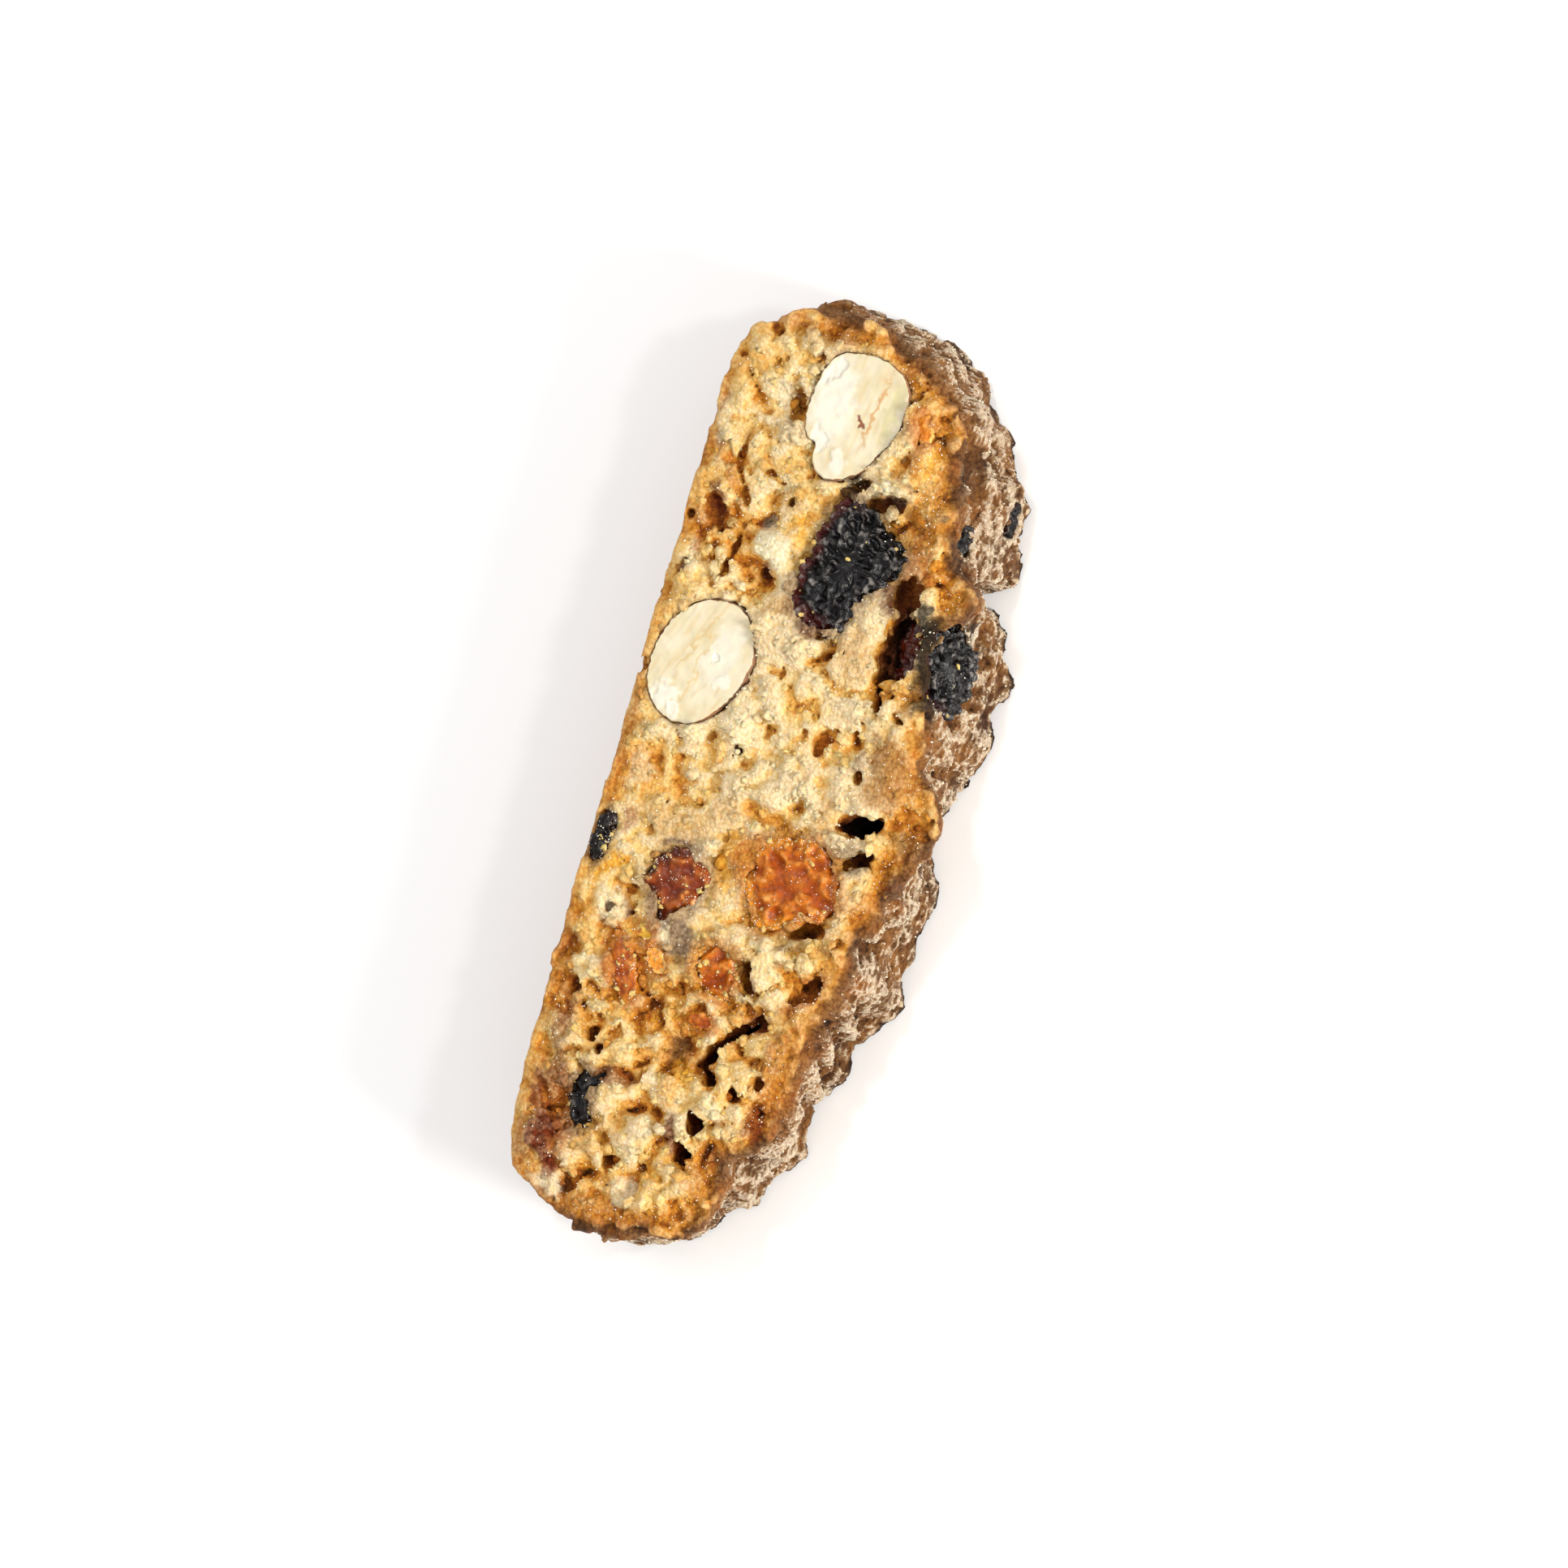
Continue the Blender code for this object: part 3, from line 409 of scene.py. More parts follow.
def cutRelief(x, y, seed):
    # flat tops at the cut, torn hollows, lumps and grains piled in them
    flat = 0 * x
    (bend, bendSize), (bendFine, fineSize) = sawn["bend"], sawn["bendFine"]
    warp, warp2 = (bend * softNoise(x, y, flat, bendSize, seed + k) for k in (1, 2))
    fine, fine2 = (bendFine * softNoise(x, y, flat, fineSize, seed + k) for k in (3, 4))
    wx, wy = x + warp + fine, y + warp2 + fine2
    (lump, lumpSize), (grain, grainSize) = sawn["lumps"], sawn["grains"]
    tornRise, tornSize, tornEdge = sawn["torn"]
    smallRise, smallSize = sawn["small"]
    broad = layered(0.0, wx, wy, flat, (1.0, tornSize, seed + 5), (0.55, tornEdge, seed + 6))
    torn = ease(0.3 + 1.4 * broad)
    small = ease(0.1 + 2.0 * softNoise(wx, wy, flat, smallSize, seed + 7))
    lumpy = lump * piled(wx, wy, lumpSize, seed + 8, 0.4)
    here = 0.25 + 0.85 * ease(0.5 + 1.6 * softNoise(x, y, flat, 4.0, seed + 11))
    grains = grain * piled(x + fine, y + fine2, grainSize, seed + 9, 0.45) * here
    # rougher towards both ends and by the upper crust, smoother along the base
    strength = 0.5 + 0.3 * ease(0.5 + 1.4 * softNoise(x, y, flat, 9.0, seed + 10))
    strength = strength + 0.3 * ease((-11.0 - x) / 6.0) + 0.25 * ease((x - 14.0) / 6.0)
    strength = strength + 0.2 * ease((x - 16.0) / 5.0) * ease((-3.0 - y) / 3.0)
    strength = strength * (1.0 - 0.35 * ease((y - 11.5) / 2.0))
    for cx, cy, length, width in calmPlaces:
        away = ovalDistance(wx, wy, cx, cy, length, width, 0)
        strength = strength * (sawn["calm"] + 0.7 * ease(away - 0.4))
    return sawn["level"] + strength * (lumpy + grains - tornRise * torn - smallRise * small)


# holes in the cut face, lengths in mm and turns in degrees
pits = (                            # x, y, length, width, turn, depth
    (-2.1, -9.3, 4.4, 2.7, -72, 7.0), (-5.2, -9.9, 3.2, 1.6, -60, 2.6), (-8.0, -9.0, 1.6, 0.9, 0, 1.8),
    (-12.6, -6.6, 4.2, 1.8, -75, 2.6), (-17.8, -8.6, 4.6, 2.2, -35, 2.4),
    (-18.0, -2.6, 3.6, 1.5, 10, 2.2), (15.2, -8.7, 6.6, 4.2, 8, 5.0), (12.6, -7.6, 3.4, 1.8, -20, 3.4),
    (19.4, -7.9, 4.2, 3.2, 0, 2.6), (27.3, -3.6, 4.2, 1.8, -80, 2.2), (28.2, -0.5, 2.6, 1.2, -60, 1.8),
    (22.6, 12.4, 4.0, 2.2, 25, 1.6), (-32.5, -1.3, 2.7, 1.7, 30, 3.6), (-35.5, -0.8, 2.8, 1.9, 20, 3.6),
    (-29.6, -6.8, 1.7, 1.2, 0, 1.8), (-27.4, -6.4, 1.6, 1.1, 0, 1.6), (-29.0, -4.4, 1.5, 1.1, 0, 1.5),
    (-26.9, 10.6, 1.8, 1.2, 0, 1.6), (-28.4, 9.4, 1.6, 1.1, 40, 1.4), (-38.0, 5.9, 2.2, 1.6, 0, 1.6),
    (-37.6, 2.6, 1.7, 1.2, 0, 1.5), (-42.2, 3.2, 1.4, 1.0, 0, 1.0), (4.6, -3.6, 3.2, 1.6, -30, 1.6),
    (5.3, -6.9, 2.0, 1.2, 20, 1.6), (2.2, -8.0, 1.5, 1.0, 0, 1.3), (-15.3, 12.5, 1.6, 1.1, 0, 1.2),
    (-23.2, 13.6, 1.7, 1.2, 0, 1.2), (34.2, 7.4, 3.6, 2.0, 20, 1.3), (8.2, -10.4, 1.8, 0.9, 60, 1.5))
cracks = (                          # width, depth, points
    (1.4, 4.4, ((-21.8, -5.2), (-23.6, -2.6), (-25.1, -1.4), (-27.0, -0.6), (-28.6, -1.6))),
    (1.3, 3.6, ((15.6, -7.4), (13.6, -6.8), (11.4, -7.2), (9.0, -7.9))),
    (0.8, 1.3, ((22.0, 9.6), (19.0, 10.1), (17.2, 10.1))),
    (1.0, 0.9, ((28.4, 12.0), (26.4, 11.0), (24.2, 9.8))),
)
lumps = (                           # x, y, length, width, turn, rise
    (28.9, -5.6, 7.0, 3.0, -78, 0.6), (21.0, 6.2, 6.0, 4.0, -60, 0.35), (3.2, 4.6, 6.0, 3.2, 10, 0.35),
    (10.4, -9.2, 6.4, 2.2, 0, 0.7), (-3.9, -10.9, 2.8, 1.6, -70, 0.5), (-32.4, -6.2, 3.0, 2.4, 0, 0.45),
    (-40.2, 4.4, 3.2, 2.6, 0, 0.5), (-40.4, 10.8, 3.0, 2.4, 0, 0.45), (-15.2, -1.0, 3.4, 2.6, 30, 0.4),
    (-30.0, 1.8, 4.2, 3.0, 0, 0.4), (-21.4, 5.2, 3.6, 2.4, 40, 0.35), (36.8, 8.4, 4.6, 3.0, 30, 0.35),
    (17.4, -8.0, 2.6, 1.6, 0, 0.4), (1.0, -14.0, 4.0, 2.2, 10, 0.4), (-17.2, 3.2, 3.0, 2.2, 0, 0.35),
)


# the dough as a field: positive inside
def localSlices(axes, centre, reach):
    return tuple(slice(max(0, int(np.searchsorted(a, c - r))), int(np.searchsorted(a, c + r)))
                 for a, c, r in zip(axes, centre, reach))


def edgeDepth(curve, out, gx, gy):
    # distance inside the cut edge and the number of the nearest edge point
    nearest = np.empty(gx.shape, np.int64)
    depth = np.empty(gx.shape)
    for i in range(gx.shape[0]):
        dx = gx[i][:, None] - curve[None, :, 0]
        dy = gy[i][:, None] - curve[None, :, 1]
        k = np.argmin(dx * dx + dy * dy, axis=1)
        row = np.arange(len(k))
        nearest[i] = k
        inside = dx[row, k] * out[k, 0] + dy[row, k] * out[k, 1] < 0
        depth[i] = np.where(inside, 1, -1) * np.hypot(dx[row, k], dy[row, k])
    return depth, nearest


def carve(field, s, hole):
    field[s] = np.minimum(field[s], hole.astype(np.float32))


def carveHoles(field, axes, grid):
    top = loaf["thickness"]
    for px, py, length, width, turn, deep in pits:
        s = localSlices(axes, (px, py, top), (length, length, deep + 2.5))
        x, y, z = (v[s] for v in grid)
        wobble = layered(0.0, x, y, z, (0.45, 1.7, 31), (0.28, 0.8, 34)) * min(1.0, 0.3 * width + 0.25)
        flat = ovalDistance(x, y, px, py, length, width, turn)
        down = np.minimum(0.0, z - (top - 0.35 * deep)) / (0.68 * deep)
        carve(field, s, (np.hypot(flat, down) - 1.0) * 0.5 * width + wobble)
    for width, deep, points in cracks:
        mid = np.mean(points, axis=0)
        s = localSlices(axes, (mid[0], mid[1], top), (6.0, 6.0, deep + 2.5))
        x, y, z = (v[s] for v in grid)
        wobble = layered(0.0, x, y, z, (0.45, 1.5, 32), (0.3, 0.8, 34))
        narrow = 0.5 * width * np.clip(1.0 + (z - top) / (1.3 * deep), 0.1, 1.0)
        carve(field, s, np.maximum(pathDistance(x, y, points) - narrow, (top - deep) - z) + wobble)


def carvePores(field, axes, grid):
    top = loaf["thickness"]
    draw = np.random.default_rng(41)
    for k in range(loaf["pores"]):
        px, py = draw.uniform(-43, 43), draw.uniform(-16, 16)
        size = 0.25 + 0.5 * draw.uniform() ** 2
        pz = top - draw.uniform(0.0, 0.6) if k % 4 else draw.uniform(0.0, 0.4)
        stretch = draw.uniform(0.6, 1.6)
        s = localSlices(axes, (px, py, pz), (2.0, 2.0, 2.0))
        x, y, z = (v[s] for v in grid)
        hole = np.sqrt(((x - px) / stretch) ** 2 + ((y - py) * stretch) ** 2 + ((z - pz) * 0.7) ** 2) - size
        carve(field, s, layered(hole, x, y, z, (0.45, 0.8, 33)))
    say("pits and pores")


def carvePockets(field, axes, grid):
    # room for nuts and fruit; the dough closes raggedly over the fruit's edges
    for n in nuts.values():
        s = localSlices(axes, (n["at"][0], n["at"][1], 7.5), (11, 11, 12))
        carve(field, s, nutPocket(n, *(v[s] for v in grid)) - 0.06)
    for f in fruits.values():
        s = localSlices(axes, f["at"], (9, 9, 9))
        x, y, z = (v[s] for v in grid)
        wobble = layered(0.0, x, y, z, (0.5, 1.5, 35), (0.4, 0.8, 36)) - 0.3
        carve(field, s, fruitPocket(f, x, y, z) - wobble)


def roughenSkin(field, side, grid):
    # round grains over all of the skin, and crags on the browned side
    band = (np.abs(field) < 0.8) & (side < 30)
    x, y, z = (v[band] for v in grid)
    grain = 0.24 * (domes(x, y, z, 0.72, 51) - 0.5) + 0.12 * softNoise(x, y, z, 1.2, 52)
    crag = 0.5 * (domes(x, y, z, 1.7, 53) - 0.45) + 0.32 * softNoise(x, y, z, 0.9, 54)
    crag += 0.25 * (1.0 - 2.6 * np.abs(softNoise(x, y, z, 2.2, 55)))
    outside = crustSide(y) * ease((1.6 - side[band]) / 0.8)
    field[band] += (grain * (0.35 + 0.65 * ease((16.0 - y) / 1.0)) + crag * outside).astype(np.float32)
    say("grain on %d voxels" % band.sum())


def buildField():
    voxel, top, rim = loaf["voxel"], loaf["thickness"], loaf["rim"]
    axes = tuple(np.arange(low, high, voxel).astype(np.float32) for low, high in loaf["reach"])
    gx, gy = np.meshgrid(axes[0], axes[1], indexing="ij")
    curve, out = closedCurve(loaf["edge"], 45)
    depth, nearest = edgeDepth(curve, out, gx, gy)
    cx, cy, cz = curve[:, 0][:, None], curve[:, 1][:, None], axes[2][None, :]
    wall = wallOffset(cx, cy, cz) + wallRelief(cx + 0 * cz, cy + 0 * cz, cz + 0 * cx)
    side = (depth[:, :, None] + wall[nearest]).astype(np.float32)
    say("wall")

    crown = np.full(gx.shape, top)
    for lx, ly, length, width, turn, rise in lumps:
        crown += rise * (1.0 - ease(ovalDistance(gx, gy, lx, ly, length, width, turn)))
    inward = ease(depth / loaf["rimWidth"])
    rimDrop = loaf["rimDrop"] * (1.0 - inward) * (0.3 + 0.7 * crustSide(gy))
    relief = (0.6 + 0.4 * inward) * cutRelief(gx, gy, 80)
    upper = np.minimum(crown + relief - rimDrop, top + loaf["crownTop"])
    lower = np.maximum(0.0, loaf["lowerShare"] * cutRelief(gx, gy, 120) + 0.05)
    grid = np.meshgrid(*axes, indexing="ij", copy=False)
    z = grid[2]
    above = upper[:, :, None].astype(np.float32) - z
    below = z - lower[:, :, None].astype(np.float32)
    corner = rim - np.hypot(np.clip(rim - side, 0, None), np.clip(rim - above, 0, None))
    field = np.minimum(np.minimum(side, corner), np.minimum(above, below))
    say("solid field %s" % (field.shape,))
    carveHoles(field, axes, grid)
    carvePores(field, axes, grid)
    carvePockets(field, axes, grid)
    roughenSkin(field, side, grid)
    field = np.minimum(field, z)                            # nothing below the plate
    return axes, field, side, crown


def largestPiece(points, faces):
    # lets every vertex take the lowest number among its neighbours until nothing changes
    label = np.arange(len(points))
    pairs = np.concatenate([faces[:, (0, 1)], faces[:, (1, 2)], faces[:, (2, 3)], faces[:, (3, 0)]])
    while True:
        low = np.minimum(label[pairs[:, 0]], label[pairs[:, 1]])
        new = label.copy()
        np.minimum.at(new, pairs[:, 0], low)
        np.minimum.at(new, pairs[:, 1], low)
        new = new[new]
        if (new == label).all():
            break
        label = new
    ids, counts = np.unique(label, return_counts=True)
    keep = label == ids[np.argmax(counts)]
    number = np.cumsum(keep) - 1
    return points[keep], number[faces[keep[faces[:, 0]]]]


def fieldToMesh(axes, field):
    voxel = loaf["voxel"]
    grid = openvdb.FloatGrid(3 * voxel)
    grid.copyFromArray(np.ascontiguousarray(np.clip(-field, -3 * voxel, 3 * voxel)).astype(np.float32))
    points, triangles, quads = grid.convertToPolygons(isovalue=0.0, adaptivity=0.0)
    points = points * voxel + np.array([a[0] for a in axes])
    say("skin: %d points, %d quads, %d triangles" % (len(points), len(quads), len(triangles)))
    return points, quads.astype(np.int64)


def quadNormals(points, quads):
    across = points[quads[:, 2]] - points[quads[:, 0]]
    along = points[quads[:, 3]] - points[quads[:, 1]]
    n = np.cross(across, along)
    out = np.zeros_like(points)
    for k in range(4):
        for axis in range(3):
            out[:, axis] += np.bincount(quads[:, k], n[:, axis], len(points))
    return out / np.maximum(np.linalg.norm(out, axis=1), 1e-9)[:, None]


def addPiece(name, nodes, points, faces, colours, material, flour=None):
    # one object from arrays in millimetres, with its colour and the flour on it kept on its points
    points = (points + np.array([*loaf["shift"], 0.0])) * mm
    mesh = bpy.data.meshes.new(name)
    size = faces.shape[1]
    mesh.vertices.add(len(points))
    mesh.vertices.foreach_set("co", points.astype(np.float32).ravel())
    mesh.loops.add(faces.size)
    mesh.loops.foreach_set("vertex_index", faces.astype(np.int32).ravel())
    mesh.polygons.add(len(faces))
    mesh.polygons.foreach_set("loop_start", np.arange(0, faces.size, size, dtype=np.int32))
    mesh.polygons.foreach_set("use_smooth", np.ones(len(faces), bool))
    mesh.update(calc_edges=True)
    rgba = np.ones((len(points), 4), np.float32)
    rgba[:, :3] = colours
    mesh.attributes.new("tone", "FLOAT_COLOR", "POINT").data.foreach_set("color", rgba.ravel())
    if flour is not None:
        mesh.attributes.new("flour", "FLOAT", "POINT").data.foreach_set("value", flour.astype(np.float32))
    mesh.validate()
    obj = bpy.data.objects.new(name, mesh)
    bpy.context.scene.collection.objects.link(obj)
    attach(obj, "root")
    if nodes:
        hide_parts(*nodes)
    obj.data.materials.append(material)
    return obj


# colours as sRGB hex
def tint(code):
    parts = [int(code[i:i + 2], 16) / 255 for i in (0, 2, 4)]
    return np.array([c / 12.92 if c <= 0.04045 else ((c + 0.055) / 1.055) ** 2.4 for c in parts], np.float32)


def mixed(colours, target, amount):
    return colours + (tint(target) - colours) * np.clip(amount, 0.0, 1.0)[:, None]


def boxBlur(a, reach):
    for axis in range(3):
        total = np.cumsum(a, axis=axis, dtype=np.float32)
        width = 2 * reach + 1
        pad = [(0, 0)] * 3
        pad[axis] = (reach + 1, reach)
        total = np.pad(total, pad, mode="edge")
        lead = [slice(None)] * 3
        lag = [slice(None)] * 3
        lead[axis] = slice(width, None)
        lag[axis] = slice(None, -width)
        a = (total[tuple(lead)] - total[tuple(lag)]) / width
    return a


def sampled(a, axes, points):
    index = [np.rint((points[:, i] - axes[i][0]) / loaf["voxel"]).astype(np.int64) for i in range(3)]
    return a[tuple(np.clip(k, 0, n - 1) for k, n in zip(index, a.shape))]


# crumb tones, the painted shade of its depths and pits, and where the crumb is stained, toasted or pale
crumb = {
    "white": "f5deb2", "pale": "f3d086", "cream": "e9b35b", "golden": "d8942e", "amber": "ad6416",
    "brown": "69300a", "dark": "1c0802", "yellow": "f6b736", "orange": "c47c20", "tan": "d3a55c",
    "stain": "5c3418", "mauve": "8d7260", "red": "80300a", "black": "100805", "caramel": "b88132",
    "milk": "f6e9c6",
}
crustTones = {
    "brown": "8a5a28", "deep": "4c2b12", "amber": "9c5c1a", "creviceShade": "2a1206", "dust": "c2a47c",
    "base": "bd7c34", "baseDeep": "7c4512",
}
paintedShadeByDepth = (                     # painted light and shade: mm below the cut, tone; crumb raised above the cut is paler, deeper crumb darker down to near black
    (-0.5, "white"), (0.0, "pale"), (0.5, "cream"), (1.0, "golden"), (1.6, "amber"), (2.5, "brown"),
    (3.8, "dark"))
patches = {                         # tone: x, y, length, width, turn, strength; several lie over pits, darkening them as painted shade
    "milk": ((-41.4, 11.2, 3.4, 3.0, 0, 0.8), (-40.2, 3.8, 3.0, 3.2, 0, 0.7),
        (-15.4, 12.4, 3.6, 3.4, 0, 0.7), (-16.2, 6.6, 2.4, 1.6, 0, 0.8), (-9.4, -8.6, 2.6, 1.2, 0, 0.8),
        (-30.8, -3.2, 4.0, 1.6, 20, 0.5), (18.0, 14.0, 4.4, 1.4, 0, 0.6), (31.4, 14.2, 6.0, 1.8, 0, 0.6),
        (35.0, 8.6, 2.4, 1.6, 0, 0.6), (21.0, 6.2, 5.6, 3.0, 30, 0.95), (28.6, -4.6, 2.6, 4.0, 0, 0.4),
        (4.0, 5.0, 7.0, 3.2, 0, 0.35), (-17.0, -4.6, 5.0, 2.0, 10, 0.4), (-2.0, 13.0, 5.0, 2.0, 0, 0.4)),
    "yellow": ((-36.6, 8.2, 5.4, 3.0, 0, 0.5), (-29.4, 1.6, 5.6, 3.4, 0, 0.55),
        (-11.6, 13.0, 4.6, 1.4, -28, 0.8), (-8.4, 2.2, 6.4, 3.4, -10, 0.75),
        (22.2, 4.0, 4.0, 1.8, 0, 0.6), (1.4, 6.0, 4.4, 2.0, 0, 0.4), (-17.4, 9.0, 2.4, 1.6, 20, 0.8),
        (-38.2, 1.2, 4.0, 2.6, 0, 0.4), (-10.8, 8.8, 2.6, 1.0, 0, 0.6), (31.0, -6.6, 5.0, 2.4, 0, 0.45)),
    "orange": ((-7.4, 0.4, 4.4, 3.0, 0, 0.75), (-12.6, -3.0, 2.4, 5.0, 0, 0.5),
        (-20.4, 10.8, 6.0, 2.2, 15, 0.7), (-42.6, 5.0, 2.6, 12.0, 0, 0.6),
        (-24.0, -8.0, 7.0, 3.4, -25, 0.6), (-28.0, -7.4, 6.0, 2.4, -15, 0.6),
        (-19.0, 8.0, 3.6, 2.6, 20, 0.6), (-11.0, -12.4, 8.0, 2.6, 0, 0.6), (0.0, 15.2, 16.0, 1.6, 0, 0.6),
        (3.0, -12.4, 7.0, 3.6, -20, 0.65), (41.6, 7.0, 2.2, 15.0, 0, 0.65),
        (25.8, 11.4, 6.0, 1.6, 28, 0.7), (31.6, -5.4, 3.6, 1.6, 20, 0.7), (25.2, -7.2, 5.0, 2.4, 30, 0.5),
        (-33.0, 14.8, 10.0, 2.0, 0, 0.5), (-23.0, 14.8, 9.0, 1.8, 0, 0.55),
        (-31.0, 12.6, 6.0, 2.0, 0, 0.4), (37.0, -7.0, 7.0, 2.0, 20, 0.45),
        (-37.0, -3.4, 3.0, 4.4, 30, 0.5), (34.6, 14.8, 6.0, 1.4, 0, 0.5)),
    "caramel": ((3.4, -10.8, 7.0, 4.4, 0, 0.75), (-24.0, -8.4, 6.0, 3.0, -20, 0.4)),
    "brown": ((19.2, -7.6, 4.6, 3.6, 0, 0.9), (-37.4, 12.4, 6.6, 3.4, 10, 0.85),
        (-31.4, 12.4, 4.4, 2.2, 10, 0.75), (-34.8, 8.0, 4.0, 1.4, 20, 0.5),
        (-19.4, -3.6, 4.0, 1.2, 0, 0.5), (26.0, -8.0, 2.6, 1.8, 0, 0.5), (3.4, -7.6, 2.6, 1.6, 0, 0.5)),
    "amber": ((-35.2, 12.0, 10.0, 5.0, 10, 0.85), (-25.0, 13.6, 6.0, 2.6, 10, 0.5),
        (36.0, -2.6, 6.0, 2.2, 10, 0.4), (-18.6, -8.4, 5.6, 2.4, -30, 0.85),
        (21.8, -8.2, 7.0, 3.0, 0, 0.75), (-7.2, 12.6, 3.6, 1.4, -30, 0.6), (-23.2, 6.6, 3.4, 1.6, 0, 0.5),
        (20.6, 13.4, 5.0, 1.8, 0, 0.6), (-38.6, 14.6, 6.0, 2.2, 15, 0.6), (5.6, -9.4, 4.0, 2.0, 30, 0.4)),
    "red": ((-37.2, 12.8, 5.4, 2.8, 10, 0.95), (-39.8, 11.6, 3.2, 2.0, 0, 0.85),
        (-33.6, 14.4, 3.6, 1.2, 0, 0.7), (-26.4, 14.2, 3.0, 1.2, 10, 0.6), (10.2, 14.6, 3.4, 1.0, 0, 0.5),
        (28.6, 13.4, 2.2, 1.0, 20, 0.6), (-34.2, 0.4, 4.2, 1.8, 10, 0.8), (-30.4, 7.4, 1.8, 5.0, 15, 0.7),
        (-31.0, -6.9, 5.0, 1.2, 0, 0.75), (-29.0, 13.6, 3.0, 1.0, 10, 0.5),
        (41.8, -2.6, 2.6, 5.0, 0, 0.85), (-7.0, -14.2, 2.6, 1.4, 0, 0.9), (24.0, 12.8, 2.6, 1.0, 0, 0.7),
        (14.4, 0.4, 1.6, 3.6, 0, 0.6), (-22.0, -5.6, 3.0, 1.0, -40, 0.6)),
    "tan": ((-5.8, 8.0, 4.6, 8.0, 0, 0.5), (-4.0, 3.6, 3.6, 3.4, 0, 0.45), (25.2, 5.2, 3.6, 2.4, 0, 0.55),
        (13.0, -4.6, 6.0, 4.0, 0, 0.5), (15.8, 3.8, 3.0, 3.0, 0, 0.6), (-2.4, -6.0, 4.4, 2.6, 0, 0.45),
        (30.0, 1.6, 1.8, 3.6, 0, 0.5), (-26.6, 3.0, 1.8, 4.0, 0, 0.5), (-34.8, 6.0, 3.6, 2.0, 0, 0.4)),
    "stain": ((-4.8, -3.0, 1.8, 6.0, 0, 0.4), (-5.2, -9.6, 3.4, 3.4, 0, 0.6),
        (33.8, 7.6, 5.0, 1.8, 0, 0.4), (-2.6, -14.4, 2.2, 5.0, 0, 0.5), (-36.2, -5.2, 4.6, 1.2, 15, 0.7),
        (-13.6, -5.8, 3.0, 3.4, 0, 0.5), (25.6, -3.0, 1.6, 3.2, 0, 0.4)),
    "mauve": ((-16.6, 4.6, 4.4, 3.6, 0, 0.85), (-14.0, 8.4, 3.0, 1.4, 30, 0.6),
        (-8.0, 7.2, 0.9, 4.6, 0, 0.8)),
    # painted shadow: near-black in the deepest pits
    "dark": ((28.0, -0.3, 3.4, 1.6, 0, 0.9), (15.6, -8.4, 5.4, 2.4, 0, 0.9),
        (-18.2, -2.3, 5.4, 1.0, 5, 0.8), (27.3, -2.8, 1.4, 2.6, 0, 0.6)),
}
juice = {                           # dark fruit syrup on the dough, over crumb and crust alike
    "black": ((14.4, -11.2, 7.4, 2.4, 8, 0.9), (17.8, -10.6, 3.0, 2.0, 0, 0.8),
        (10.6, -11.6, 3.0, 1.8, 0, 0.8), (14.0, -15.0, 6.4, 2.4, 0, 0.7),
        (27.4, -10.8, 3.4, 1.6, 0, 0.6)),
}
paleGround = (                      # where the crumb stayed pale: x, y, length, width, how much
    (4.0, -1.0, 34.0, 24.0, 0.55), (32.0, 6.0, 18.0, 12.0, 0.3), (-30.0, 3.0, 16.0, 8.0, 0.3),
    (-8.0, 3.0, 10.0, 8.0, 0.2), (-38.0, 8.0, 8.0, 8.0, 0.2))


def stainsAndShade(c, x, y, places):
    # mixes in the listed patches: stains and toasting, and painted shade over pits
    for tone, spots in places.items():
        for px, py, length, width, turn, strength in spots:
            away = ovalDistance(x, y, px, py, length, width, turn)
            c = mixed(c, crumb[tone], strength * (1 - ease((away - 0.6) / 0.6)))
    return c


